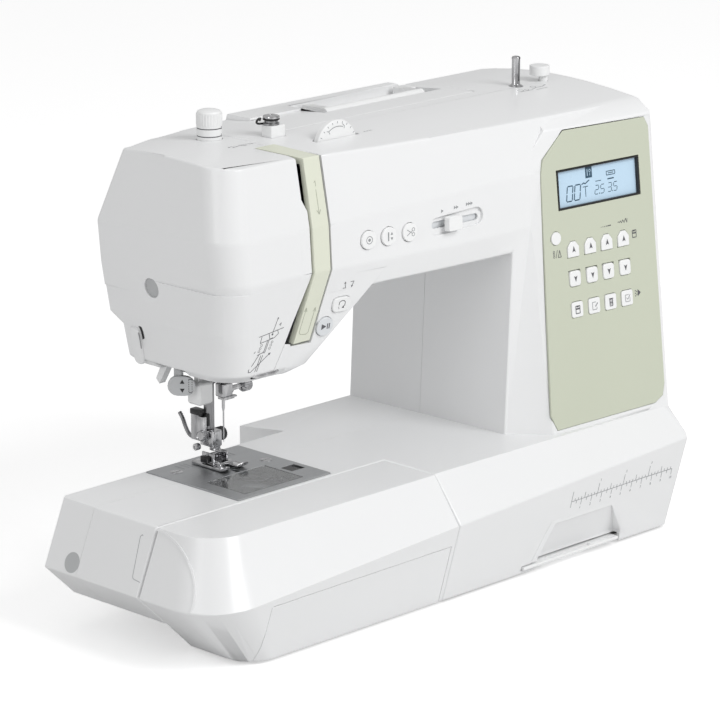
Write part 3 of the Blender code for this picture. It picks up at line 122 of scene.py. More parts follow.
def drawn_lines():
    """Brushed or turned metal: fine lines along one direction, with a slow change of shade."""
    group = add_group("drawn_lines", [
        ("Light", "NodeSocketColor", (0.8, 0.8, 0.8, 1)), ("Dark", "NodeSocketColor", (0.5, 0.5, 0.5, 1)),
        ("Roughness", "NodeSocketFloat", 0.25), ("Along X", "NodeSocketFloat", 30.0),
        ("Along Y", "NodeSocketFloat", 2500.0), ("Along Z", "NodeSocketFloat", 2500.0)],
        [("Colour", "NodeSocketColor"), ("Roughness", "NodeSocketFloat"), ("Height", "NodeSocketFloat")])
    new = group.nodes.new
    given, result = new("NodeGroupInput"), new("NodeGroupOutput")
    place, stretch, pack = new("ShaderNodeTexCoord"), new("ShaderNodeVectorMath"), new("ShaderNodeCombineXYZ")
    stretch.operation = "MULTIPLY"
    lines, mix, rough = new("ShaderNodeTexNoise"), new("ShaderNodeMix"), new("ShaderNodeMath")
    lines.inputs["Scale"].default_value = 1.0
    lines.inputs["Detail"].default_value = 4.0
    mix.data_type = "RGBA"
    rough.operation = "MULTIPLY_ADD"
    rough.inputs[1].default_value = 0.22
    link_nodes(group, [
        (given.outputs["Along X"], pack.inputs["X"]), (given.outputs["Along Y"], pack.inputs["Y"]),
        (given.outputs["Along Z"], pack.inputs["Z"]), (place.outputs["Object"], stretch.inputs[0]),
        (pack.outputs["Vector"], stretch.inputs[1]), (stretch.outputs["Vector"], lines.inputs["Vector"]),
        (lines.outputs["Fac"], mix.inputs["Factor"]), (given.outputs["Dark"], mix.inputs["A"]),
        (given.outputs["Light"], mix.inputs["B"]), (lines.outputs["Fac"], rough.inputs[0]),
        (given.outputs["Roughness"], rough.inputs[2]), (mix.outputs["Result"], result.inputs["Colour"]),
        (rough.outputs["Value"], result.inputs["Roughness"]), (lines.outputs["Fac"], result.inputs["Height"])])
    return group


GRAIN, LINES = moulded_grain(), drawn_lines()


def start_material(name, group, values, bump, bump_depth):
    material = bpy.data.materials.new(name)
    material.use_nodes = True
    tree = material.node_tree
    shader = tree.nodes["Principled BSDF"]
    pattern = tree.nodes.new("ShaderNodeGroup")
    pattern.node_tree = group
    for label, value in values.items():
        pattern.inputs[label].default_value = value
    relief = tree.nodes.new("ShaderNodeBump")
    relief.inputs["Strength"].default_value = bump
    relief.inputs["Distance"].default_value = bump_depth
    link_nodes(tree, [
        (pattern.outputs["Colour"], shader.inputs["Base Color"]),
        (pattern.outputs["Roughness"], shader.inputs["Roughness"]),
        (pattern.outputs["Height"], relief.inputs["Height"]), (relief.outputs["Normal"], shader.inputs["Normal"])])
    return material, shader


def plastic(name, colour, rough, grain=1800.0, shade=0.03, gloss=0.06, bump=0.12, coat=0.0):
    values = {"Colour": (*colour, 1), "Grain Size": grain, "Shade Change": shade, "Gloss Change": gloss,
              "Roughness": rough}
    material, shader = start_material(name, GRAIN, values, bump, 0.00006)
    shader.inputs["Coat Weight"].default_value = coat
    shader.inputs["Coat Roughness"].default_value = 0.12
    return material


def metal(name, light, dark, rough, along=(30.0, 2500.0, 2500.0), bump=0.06):
    values = {"Light": (*light, 1), "Dark": (*dark, 1), "Roughness": rough, "Along X": along[0],
              "Along Y": along[1], "Along Z": along[2]}
    material, shader = start_material(name, LINES, values, bump, 0.00004)
    shader.inputs["Metallic"].default_value = 1.0
    return material


def see_through(name, colour, rough, amount):
    material, shader = start_material(name, GRAIN, {
        "Colour": (*colour, 1), "Grain Size": 60.0, "Shade Change": 0.02, "Gloss Change": 0.03, "Roughness": rough},
        0.02, 0.00005)
    shader.inputs["Transmission Weight"].default_value = amount
    shader.inputs["IOR"].default_value = 1.46
    return material


def glowing(name, colour, strength):
    material = plastic(name, colour, 0.25, grain=400.0, shade=0.02, bump=0.0)
    shader = material.node_tree.nodes["Principled BSDF"]
    shader.inputs["Emission Color"].default_value = (*colour, 1)
    shader.inputs["Emission Strength"].default_value = strength
    return material


WHITE = plastic("shell_white", (0.83, 0.835, 0.84), 0.3, coat=0.15)
WHITE_PART = plastic("fitting_white", (0.86, 0.865, 0.865), 0.27, grain=2400.0, coat=0.25)
BUTTON = plastic("button_pearl", (0.72, 0.74, 0.76), 0.3, grain=2600.0, coat=0.2)
SAGE = plastic("panel_sage", (0.57, 0.60, 0.485), 0.34, grain=2200.0, coat=0.1)
SAGE_STRIP = plastic("strip_sage", (0.73, 0.75, 0.63), 0.34, grain=2200.0, coat=0.1)
GREY = plastic("fitting_grey", (0.46, 0.47, 0.49), 0.36)
GREY_TAB = plastic("tab_grey", (0.56, 0.57, 0.58), 0.35)
# Pale grey of the face plug and the rear plate; it also paints the shade of the dimple on the arm.
PALE_GREY = plastic("recess_grey", (0.47, 0.48, 0.485), 0.5)
# Black of the black fittings; the same black also paints the shadow behind the chin guide rod.
BLACK = plastic("fitting_black", (0.012, 0.012, 0.013), 0.3, shade=0.1)
# Matt black of the motor and bobbin case; it also paints the shade inside the thread cutter slot and under the bobbin
# cover.
BLACK_MATT = plastic("inner_black", (0.018, 0.018, 0.019), 0.6, shade=0.1)
INK = plastic("print_ink", (0.10, 0.10, 0.11), 0.45, shade=0.05, bump=0.02)
PALE_INK = plastic("pale_ink", (0.30, 0.31, 0.32), 0.45, shade=0.05, bump=0.02)
SEAM_LINE = plastic("seam_shadow", (0.42, 0.43, 0.44), 0.6, bump=0.02)
FAINT_INK = plastic("engraved_line", (0.42, 0.44, 0.35), 0.5, shade=0.05, bump=0.02)
RUBBER = plastic("foot_rubber", (0.03, 0.03, 0.031), 0.75, grain=900.0, shade=0.2, bump=0.3)
BOARD = plastic("board_lacquer", (0.02, 0.16, 0.07), 0.3, grain=300.0, shade=0.2, bump=0.1)
PLATE = metal("plate_steel", (0.60, 0.61, 0.62), (0.40, 0.41, 0.42), 0.3, along=(18.0, 1500.0, 1500.0))
CHROME = metal("polished_chrome", (0.92, 0.92, 0.93), (0.16, 0.16, 0.17), 0.05, along=(330.0, 330.0, 90.0), bump=0.02)
STEEL = metal("turned_steel", (0.50, 0.50, 0.51), (0.13, 0.13, 0.135), 0.18, along=(420.0, 420.0, 60.0))
CASTING = metal("cast_frame", (0.50, 0.51, 0.52), (0.33, 0.34, 0.35), 0.5, along=(260.0, 260.0, 260.0), bump=0.4)
CLEAR = see_through("cover_clear", (0.93, 0.95, 0.96), 0.06, 0.95)
SMOKE = see_through("bobbin_clear", (0.88, 0.90, 0.91), 0.1, 0.6)
SCREEN = glowing("screen_blue", (0.50, 0.66, 0.80), 0.08)
SCREEN_INK = plastic("screen_ink", (0.03, 0.08, 0.13), 0.35, bump=0.0)
THREAD = plastic("wound_thread", (0.78, 0.78, 0.76), 0.7, grain=5000.0, bump=0.4)

FINISH_OF = {
    "white_plastic": WHITE, "sage_plastic": SAGE, "grey_plastic": GREY, "dark_plastic": BLACK,
    "brushed_steel": STEEL, "chrome": CHROME, "cast_aluminium": CASTING, "clear_plastic": CLEAR,
    "circuit_board": BOARD, "rubber": RUBBER,
}


# ---------------------------------------------------------------- modelling

def choose_only(thing):
    ops.object.select_all(action="DESELECT")
    thing.select_set(True)
    bpy.context.view_layer.objects.active = thing


def keep_place(thing):
    """Put the object's place, turn and size into its mesh."""
    choose_only(thing)
    ops.object.transform_apply(location=True, rotation=True, scale=True)
    return thing


def call(name):
    """Name what was just made."""
    thing = bpy.context.active_object
    thing.name = name
    thing.data.name = name
    return thing


def outward(thing):
    """Turn every face of a closed mesh outwards."""
    choose_only(thing)
    ops.object.mode_set(mode="EDIT")
    ops.mesh.select_all(action="SELECT")
    ops.mesh.normals_make_consistent(inside=False)
    ops.object.mode_set(mode="OBJECT")
    return thing


def round_edges(thing, width, steps=2):
    choose_only(thing)
    bevel = thing.modifiers.new("round", "BEVEL")
    bevel.width = width * MM
    bevel.segments = steps
    bevel.limit_method = "ANGLE"
    bevel.angle_limit = math.radians(30)
    ops.object.modifier_apply(modifier=bevel.name)
    return thing


def block(name, low, high, edge=0.4, steps=2):
    """Rounded block between two corners."""
    a, b = spot(*low), spot(*high)
    ops.object.select_all(action="DESELECT")
    ops.mesh.primitive_cube_add(size=1.0, location=(a + b) / 2)
    thing = call(name)
    thing.scale = b - a
    keep_place(thing)
    return round_edges(thing, edge, steps) if edge else thing


def stack(name, base, axis, levels, sides=32):
    """Turned solid: a disc drawn upwards through (radius, height) levels, then stood on base along axis."""
    ops.object.select_all(action="DESELECT")
    radius, height = levels[0]
    ops.mesh.primitive_circle_add(vertices=sides, radius=radius * MM, fill_type="NGON",
                                  location=(0, 0, height * MM))
    thing = call(name)
    ops.object.mode_set(mode="EDIT")
    ops.mesh.select_all(action="SELECT")
    for new_radius, new_height in levels[1:]:
        ops.mesh.extrude_region_move(TRANSFORM_OT_translate={"value": (0, 0, (new_height - height) * MM)})
        share = new_radius / radius
        ops.transform.resize(value=(share, share, 1), center_override=(0, 0, 0))
        radius, height = new_radius, new_height
    ops.object.mode_set(mode="OBJECT")
    outward(thing)
    lean = UP.rotation_difference(Vector(axis).normalized()).to_matrix().to_4x4()
    thing.matrix_world = Matrix.Translation(spot(*base)) @ lean
    return keep_place(thing)


def bar_between(name, start, end, radius, sides=20):
    """Round bar with softened ends."""
    along = Vector(end) - Vector(start)
    edge = min(0.25 * radius, 0.3)
    return stack(name, start, along, [(radius - edge, 0), (radius, edge), (radius, along.length - edge),
                                      (radius - edge, along.length)], sides)


def wire(name, points, radius, sides=8):
    """Round wire drawn smoothly along points."""
    ops.object.select_all(action="DESELECT")
    ops.curve.primitive_nurbs_path_add(location=(0, 0, 0))
    curve = bpy.context.active_object
    data = curve.data
    data.splines.clear()
    line = data.splines.new("NURBS")
    line.points.add(len(points) - 1)
    for knot, point in zip(line.points, points):
        knot.co = (*spot(*point), 1)
    line.order_u = 3
    line.use_endpoint_u = True
    data.dimensions = "3D"
    data.bevel_depth = radius * MM
    data.bevel_resolution = max(sides // 4 - 1, 1)
    data.use_fill_caps = True
    choose_only(curve)
    ops.object.convert(target="MESH")
    thing = call(name)
    return outward(keep_place(thing))


def slab(name, outline, frame_at, thick, edge=0.0, steps=2, low=0.0):
    """Plate of any outline, given in millimetres in a local plane, thick along the plane's normal."""
    ops.object.select_all(action="DESELECT")
    ops.mesh.primitive_circle_add(vertices=len(outline), radius=MM, fill_type="NGON", location=(0, 0, 0))
    thing = call(name)
    for corner, (u, v) in zip(thing.data.vertices, outline):
        corner.co = (u * MM, v * MM, low * MM)
    ops.object.mode_set(mode="EDIT")
    ops.mesh.select_all(action="SELECT")
    ops.mesh.extrude_region_move(TRANSFORM_OT_translate={"value": (0, 0, thick * MM)})
    ops.object.mode_set(mode="OBJECT")
    outward(thing)
    if edge:
        round_edges(thing, edge, steps)
    thing.matrix_world = frame_at
    return keep_place(thing)


def join(name, pieces):
    """One object from several."""
    ops.object.select_all(action="DESELECT")
    for piece in pieces:
        piece.select_set(True)
    bpy.context.view_layer.objects.active = pieces[0]
    if len(pieces) > 1:
        ops.object.join()
    return call(name)


def carve(thing, *cutters):
    """Cut each cutter's shape out of a thing and drop the cutter."""
    for cutter in cutters:
        choose_only(thing)
        step = thing.modifiers.new("carve", "BOOLEAN")
        step.operation = "DIFFERENCE"
        step.solver = "EXACT"
        step.object = cutter
        ops.object.modifier_apply(modifier=step.name)
        bpy.data.objects.remove(cutter, do_unlink=True)
    return thing


def finish(thing, body, material, smooth=30, replaces=()):
    """Give a piece its material and its body, and hide the CAD nodes that it stands in for."""
    choose_only(thing)
    if smooth:
        ops.object.shade_smooth_by_angle(angle=math.radians(smooth))
    thing.data.materials.clear()
    thing.data.materials.append(material)
    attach(thing, body)
    if replaces:
        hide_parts(*replaces)
    return thing


def copy_of(node, name):
    """Merged copy of a CAD node, ready to be shaped."""
    source = NODES[node]
    thing = bpy.data.objects.new(name, source.data.copy())
    bpy.context.scene.collection.objects.link(thing)
    choose_only(thing)
    ops.object.mode_set(mode="EDIT")
    ops.mesh.select_all(action="SELECT")
    ops.mesh.remove_doubles(threshold=0.002 * MM)
    ops.mesh.dissolve_limited(angle_limit=math.radians(0.6))
    ops.object.mode_set(mode="OBJECT")
    return thing


def plane_at(at, normal, up=UP):
    """Matrix of a drawing plane: local X to the right, local Y up, local Z out of the surface."""
    normal = Vector(normal).normalized()
    side = Vector(up).cross(normal).normalized()
    top = normal.cross(side)
    return Matrix.Translation(spot(*at)) @ Matrix((side, top, normal)).transposed().to_4x4()


SURFACES = {}


def surface_of(node):
    """A CAD node's surface, for finding where a line meets it."""
    if node not in SURFACES:
        mesh = NODES[node].data
        SURFACES[node] = BVHTree.FromPolygons([v.co.copy() for v in mesh.vertices],
                                              [tuple(p.vertices) for p in mesh.polygons])
    return SURFACES[node]


def touch(node, start, direction):
    """Where a line from start first meets a CAD node, in millimetres, and the surface's normal there."""
    where, normal, _, _ = surface_of(node).ray_cast(spot(*start), Vector(direction).normalized())
    if where is None:
        raise ValueError(f"no surface of {node} from {start}")
    return back(where), normal


# ---------------------------------------------------------------- printed marks

FINEST_LINE = 0.38
DROP_HEIGHT = 6.0


def flat_bar(x0, y0, x1, y1, width):
    ops.object.select_all(action="DESELECT")
    width = max(width, FINEST_LINE)
    long = math.hypot(x1 - x0, y1 - y0)
    ops.mesh.primitive_plane_add(size=1.0, location=((x0 + x1) / 2 * MM, (y0 + y1) / 2 * MM, 0),
                                 rotation=(0, 0, math.atan2(y1 - y0, x1 - x0)))
    thing = bpy.context.active_object
    thing.scale = (max(long, width) * MM, width * MM, 1)
    return thing


def flat_disc(x, y, radius, corners=24, turn=0.0):
    ops.object.select_all(action="DESELECT")
    ops.mesh.primitive_circle_add(vertices=corners, radius=radius * MM, fill_type="NGON",
                                  location=(x * MM, y * MM, 0), rotation=(0, 0, math.radians(turn)))
    return bpy.context.active_object


def flat_ring(x, y, radius, width, corners=28):
    ops.object.select_all(action="DESELECT")
    ops.mesh.primitive_circle_add(vertices=corners, radius=radius * MM, fill_type="NOTHING",
                                  location=(x * MM, y * MM, 0))
    thing = bpy.context.active_object
    ops.object.mode_set(mode="EDIT")
    ops.mesh.select_all(action="SELECT")
    share = (radius - width) / radius
    ops.mesh.extrude_region_move(TRANSFORM_OT_translate={"value": (0, 0, 0)})
    ops.transform.resize(value=(share, share, 1), center_override=(x * MM, y * MM, 0))
    ops.object.mode_set(mode="OBJECT")
    return thing


def flat_text(x, y, size, words, turn=0.0):
    ops.object.select_all(action="DESELECT")
    ops.object.text_add(location=(0, 0, 0))
    text = bpy.context.active_object
    text.data.body = words
    text.data.size = size * MM
    text.data.align_x = "CENTER"
    text.data.align_y = "CENTER"
    text.data.resolution_u = 3
    ops.object.convert(target="MESH")
    thing = bpy.context.active_object
    thing.location = (x * MM, y * MM, 0)
    thing.rotation_euler = (0, 0, math.radians(turn))
    return thing


def flat_shape(points):
    ops.object.select_all(action="DESELECT")
    ops.mesh.primitive_circle_add(vertices=len(points), radius=MM, fill_type="NGON", location=(0, 0, 0))
    thing = bpy.context.active_object
    for corner, (x, y) in zip(thing.data.vertices, points):
        corner.co = (x * MM, y * MM, 0)
    return thing


def flat_path(points, width, closed=False):
    ends = points[1:] + ([points[0]] if closed else [])
    return [flat_bar(*a, *b, width) for a, b in zip(points, ends)]


SIMPLE_SHAPES = {"bar": flat_bar, "disc": flat_disc, "shape": flat_shape, "ring": flat_ring, "text": flat_text}


def draw(shapes):
    """Turn a list of simple shapes into flat objects."""
    made = []
    for kind, *values in shapes:
        if kind in SIMPLE_SHAPES:
            made.append(SIMPLE_SHAPES[kind](*values))
        elif kind == "arrow":
            x, y, size, turn = values
            made.append(flat_disc(x, y, size, 3, turn))
        elif kind == "path":
            made += flat_path(*values)
        elif kind == "frame":
            x, y, wide, high, width = values
            w, h = wide / 2, high / 2
            made += flat_path([(x - w, y - h), (x + w, y - h), (x + w, y + h), (x - w, y + h)], width, True)
    return made


def drape(thing, where, node, lift):
    """Hold flat shapes over a plane and drop each corner onto a node's surface."""
    ops.object.mode_set(mode="EDIT")
    ops.mesh.select_all(action="SELECT")
    ops.mesh.subdivide(number_cuts=2)
    ops.object.mode_set(mode="OBJECT")
    thing.matrix_world = where @ Matrix.Translation((0, 0, DROP_HEIGHT * MM))
    keep_place(thing)
    normal = (where.to_3x3() @ UP).normalized()
    for corner in thing.data.vertices:
        place = surface_of(node).ray_cast(corner.co, -normal)[0]
        if place is not None:
            corner.co = place + normal * lift * MM


def stamp(name, shapes, where, body, ink=INK, lift=0.05, onto=None, thick=0.05):
    """Printed mark: flat shapes on a plane, or draped onto a node, thin enough to read as ink."""
    thing = keep_place(join(name, draw(shapes)))
    if onto is not None:
        drape(thing, where, onto, lift)
    choose_only(thing)
    shell = thing.modifiers.new("ink", "SOLIDIFY")
    shell.thickness = thick * MM
    shell.offset = 1.0
    ops.object.modifier_apply(modifier=shell.name)
    outward(thing)
    if onto is None:
        thing.matrix_world = where @ Matrix.Translation((0, 0, lift * MM))
        keep_place(thing)
    return finish(thing, body, ink, smooth=0)


# ---------------------------------------------------------------- camera, light, floor

def make_camera():
    turn, tilt = math.radians(44.577), math.radians(15.474)
    look = Vector((math.cos(turn) * math.cos(tilt), math.sin(turn) * math.cos(tilt), -math.sin(tilt)))
    camera = bpy.data.cameras.new("camera")
    camera.sensor_width = 36.0
    camera.lens = 183.325
    camera.clip_end = 30.0
    holder = bpy.data.objects.new("camera", camera)
    bpy.context.scene.collection.objects.link(holder)
    holder.location = spot(-1559.8, -1466.6, 746.3)
    holder.rotation_euler = look.to_track_quat("-Z", "Y").to_euler()
    bpy.context.scene.camera = holder


def soft_light(name, place, aim, size, power):
    ops.object.select_all(action="DESELECT")
    ops.object.light_add(type="AREA", location=place)
    lamp = bpy.context.active_object
    lamp.name = name
    lamp.data.shape = "RECTANGLE"
    lamp.data.size, lamp.data.size_y = size
    lamp.data.energy = power
    lamp.rotation_euler = (Vector(aim) - Vector(place)).to_track_quat("-Z", "Y").to_euler()


def make_studio():
    ops.object.select_all(action="DESELECT")
    ops.mesh.primitive_plane_add(size=14.0, location=(0, 0, 0))
    floor = call("floor")
    ops.object.mode_set(mode="EDIT")
    ops.mesh.select_all(action="SELECT")
    ops.mesh.subdivide(number_cuts=3)
    ops.object.mode_set(mode="OBJECT")
    floor.location.z = -0.0002
    keep_place(floor)
    paper = plastic("studio_floor", (0.8, 0.8, 0.8), 0.7, grain=40.0, shade=0.01, bump=0.0)
    tree = paper.node_tree
    shader = tree.nodes["Principled BSDF"]
    shader.inputs["Emission Color"].default_value = (1, 1, 1, 1)
    seen, glow = tree.nodes.new("ShaderNodeLightPath"), tree.nodes.new("ShaderNodeMath")
    glow.operation = "MULTIPLY"
    glow.inputs[1].default_value = 0.45
    link_nodes(tree, [(seen.outputs["Is Camera Ray"], glow.inputs[0]),
                      (glow.outputs["Value"], shader.inputs["Emission Strength"])])
    floor.data.materials.append(paper)
    world = bpy.data.worlds.new("studio")
    world.use_nodes = True
    world.node_tree.nodes["Background"].inputs["Color"].default_value = (1, 1, 1, 1)
    world.node_tree.nodes["Background"].inputs["Strength"].default_value = 0.55
    bpy.context.scene.world = world
    soft_light("key", (0.35, -1.9, 1.75), (0.05, 0, 0.1), (1.3, 1.1), 31)
    soft_light("top", (-0.2, 0.5, 2.0), (0, 0, 0.1), (1.2, 1.0), 1.3)
    soft_light("left", (-1.9, -0.3, 0.9), (0, 0, 0.12), (0.6, 1.0), 4.6)
    bpy.context.scene.view_settings.view_transform = "Standard"


# ---------------------------------------------------------------- housing

SEAM_Y, SEAM_GAP = 105.0, 0.005
BED_SEAM_TOP, BED_SEAM_RIGHT = 100, 91.5
WIDE_FACE = 4.2
BROAD_ANGLE, LEVEL_RUN, RIM_ANGLE = 34, 0.4, 50
MOST_ROOM, ROOM_SHARE, LENGTH_SHARE = 9.0, 0.45, 0.3
SAME_LINE = 0.94
SHORTEST_EDGE, LEAST_RADIUS = 0.8, 0.08


def in_bed_seam(place):
    """Along the joint of the two housing halves under the bed, where it doesn't show."""
    return abs(place.y - SEAM_Y) < 0.2 and place.z < BED_SEAM_TOP and place.x < BED_SEAM_RIGHT


def close_bed_seam(thing, side):
    for corner in thing.data.vertices:
        place = back(corner.co)
        if in_bed_seam(place):
            corner.co.y += (SEAM_Y - side * SEAM_GAP - place.y) * MM


def room_beside(mesh, edge, ends_at):
    """Length of the shortest edge that leaves this one sideways, in millimetres."""
    a, b = (mesh.vertices[i].co for i in edge.vertices)
    along = (b - a).normalized()
    room = MOST_ROOM
    for corner in edge.vertices:
        here = mesh.vertices[corner].co
        for other in ends_at[corner]:
            far = mesh.vertices[other.vertices[0] if other.vertices[1] == corner else other.vertices[1]].co
            if other.index != edge.index and abs((far - here).normalized().dot(along)) < SAME_LINE:
                room = min(room, (far - here).length / MM)
    return room


def weigh_creases(mesh, width, small, slope, flush):
    """Mark each outer crease with its radius: broad ones between wide faces, small ones on cut rims."""
    weight = mesh.attributes.get("bevel_weight_edge") or mesh.attributes.new("bevel_weight_edge", "FLOAT", "EDGE")
    faces_of, ends_at = {}, {}
    for face in mesh.polygons:
        long = max((mesh.vertices[a].co - mesh.vertices[b].co).length for a, b in face.edge_keys)
        for key in face.edge_keys:
            faces_of.setdefault(key, []).append((face, face.area / long))
    for edge in mesh.edges:
        for corner in edge.vertices:
            ends_at.setdefault(corner, []).append(edge)
    for edge in mesh.edges:
        pair = faces_of.get(edge.key, [])
        if len(pair) != 2:
            continue
        (one, one_wide), (two, two_wide) = pair
        angle = math.degrees(one.normal.angle(two.normal, 0.0))
        a, b = (mesh.vertices[i].co for i in edge.vertices)
        long = (a - b).length
        hollow = (two.center - one.center).dot(one.normal) > 0
        if angle < slope or hollow or long < SHORTEST_EDGE * MM:
            continue
        if flush and all(in_bed_seam(back(end)) for end in (a, b)):
            continue
        level = abs(a.z - b.z) / max(long, 1e-9) < LEVEL_RUN
        broad = min(one_wide, two_wide) > WIDE_FACE * MM and (angle > BROAD_ANGLE or level)
        if not broad and angle <= RIM_ANGLE:
            continue
        radius = min(width if broad else small, ROOM_SHARE * room_beside(mesh, edge, ends_at),
                     LENGTH_SHARE * long / MM)
        if radius > LEAST_RADIUS:
            weight.data[edge.index].value = radius / width


def soft_skin(node, name, body, material, width=1.6, small=0.25, slope=9.0, cutters=(), flush=None):
    """Moulded version of a CAD shell: its creases get a radius, its cut rims a small one."""
    thing = carve(copy_of(node, name), *cutters)
    if flush:
        close_bed_seam(thing, flush)
    choose_only(thing)
    mesh = thing.data
    weigh_creases(mesh, width, small, slope, flush)
    bevel = thing.modifiers.new("round", "BEVEL")
    bevel.width = width * MM
    bevel.segments = 3
    bevel.limit_method = "WEIGHT"
    bevel.use_clamp_overlap = False
    bevel.harden_normals = False
    ops.object.modifier_apply(modifier=bevel.name)
    low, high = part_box(node)
    for corner in mesh.vertices:
        for axis in range(3):
            corner.co[axis] = min(max(corner.co[axis], low[axis]), high[axis])
    outward(thing)
    ops.object.shade_smooth_by_angle(angle=math.radians(40))
    even = thing.modifiers.new("even", "WEIGHTED_NORMAL")
    even.keep_sharp = True
    even.weight = 80
    ops.object.modifier_apply(modifier=even.name)
    mesh.materials.clear()
    mesh.materials.append(material)
    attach(thing, body)
    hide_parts(node)
    return thing


def face_out(node, start, direction):
    """Drawing plane where a line first meets a node."""
    at, normal = touch(node, start, direction)
    return plane_at(at, normal)


def from_front(node, x, z):
    return face_out(node, (x, -90, z), (0, 1, 0))


def from_left(node, y, z):
    return face_out(node, (-260, y, z), (1, 0, 0))


def on_top(node, x, y, turn=0.0):
    at, _ = touch(node, (x, y, 340), (0, 0, -1))
    return plane_at(at, (0, 0, 1), (0, 1, 0)) @ Matrix.Rotation(math.radians(turn), 4, "Z")


def capsule(length, width, steps=8):
    reach = (length - width) / 2
    right = [(reach + width / 2 * math.sin(a), -width / 2 * math.cos(a))
             for a in (math.pi * i / steps for i in range(steps + 1))]
    return right + [(-x, -y) for x, y in right]


def rounded(width, height, radius, steps=5):
    w, h = width / 2 - radius, height / 2 - radius
    points = []
    for cx, cy, start in ((w, -h, -90), (w, h, 0), (-w, h, 90), (-w, -h, 180)):
        for i in range(steps + 1):
            a = math.radians(start + 90 * i / steps)
            points.append((cx + radius * math.cos(a), cy + radius * math.sin(a)))
    return points


SLIDER_RISE = 2.0 / 39.0
KEY_COLUMNS = (141.5, 156.6, 171.3, 186.2)
DOWN_KEYS_Z = 176.0


REAR_SCREWS = ((-50.0, 230.0), (-20.0, 250.0), (200.0, 240.0), (204.0, 24.0), (10.0, 24.0))
WELL_DEPTH = 1.8


def rear_openings():
    """Vents right through the rear wall, and a round well for each screw."""
    vent = face_out("rear_cover", (176.0, 260, 60.0), (0, -1, 0))
    cuts = []
    for i in range(-5, 6):
        place = vent @ Matrix.Translation((6.0 * i * MM, 0, 0)) @ Matrix.Rotation(math.pi / 2, 4, "Z")
        cuts.append(slab("vent_cut", capsule(18.0, 2.2, 4), place, 9.0, low=-5.0))
    for x, z in REAR_SCREWS:
        cuts.append(slab("well_cut", rounded(8.4, 8.4, 4.19, 6), face_out("rear_cover", (x, 260, z), (0, -1, 0)), 5.0,
                         low=-WELL_DEPTH))
    return cuts


def make_housing():
    slider_plane = from_front("front_cover", 47.0, 232.0)
    slider_plane.translation = slider_plane.translation - Vector((0, 0, 5.4 * MM))
    tilt = Matrix.Rotation(math.atan(SLIDER_RISE), 4, "Z")
    recess = slab("slider_recess_cut", capsule(45.0, 11.4), slider_plane @ tilt, 8.0, low=-1.7)
    cap_plane = from_left("face_cover", 115.5, 202.0)
    plug = slab("plug_cut", rounded(12.4, 12.4, 6.19, 8), cap_plane, 6.0, low=-1.4)
    soft_skin("front_cover", "front_cover_skin", "housing", WHITE, cutters=(recess,), flush=1)
    soft_skin("rear_cover", "rear_cover_skin", "housing", WHITE, width=0.9, slope=24,
              cutters=rear_openings(), flush=-1)
    soft_skin("face_cover", "face_cover_skin", "housing", WHITE, cutters=(plug,))
    soft_skin("extension_table", "extension_table_skin", "table", WHITE, width=1.0)
    soft_skin("accessory_door", "accessory_door_skin", "table_door", WHITE, width=0.8)
    holes = [slab("key_hole_cut", rounded(10.4, 10.6, 2.4), from_front(f"key_down_{i + 1}", x, DOWN_KEYS_Z), 12.0,
                  low=-8.0) for i, x in enumerate(KEY_COLUMNS)]
    soft_skin("control_panel", "control_panel_skin", "housing", SAGE, width=0.7, small=0.3,
              cutters=holes)
    soft_skin("thread_guide_cover", "thread_guide_skin", "housing", SAGE_STRIP, width=0.8, small=0.4)
    disc = slab("face_plug", rounded(12.0, 12.0, 5.99, 8), cap_plane, 0.5, edge=0.2, low=-1.35)
    finish(disc, "housing", PALE_GREY)
    shutter = slab("slider_shutter", rounded(58.0, 8.0, 1.0), slider_plane @ tilt, 0.5, edge=0.1, low=-3.8)
    finish(shutter, "housing", BUTTON)


def paint_nodes():
    """Every CAD node that stays gets its own finish."""
    slot_of = {entry["node"]: entry["material_slot"] for entry in frame["record"]["subparts"]}
    special = {"thread_guide_cover": SAGE_STRIP, "needle_plate": PLATE, "bobbin": SMOKE, "cover_latch": BLACK,
               "motor": BLACK_MATT, "needle_bar": CHROME, "bobbin_case": BLACK_MATT, "hook": STEEL}
    for name, node in NODES.items():
        node.data.materials.clear()
        node.data.materials.append(special.get(name, FINISH_OF[slot_of[name]]))


# ---------------------------------------------------------------- control panel

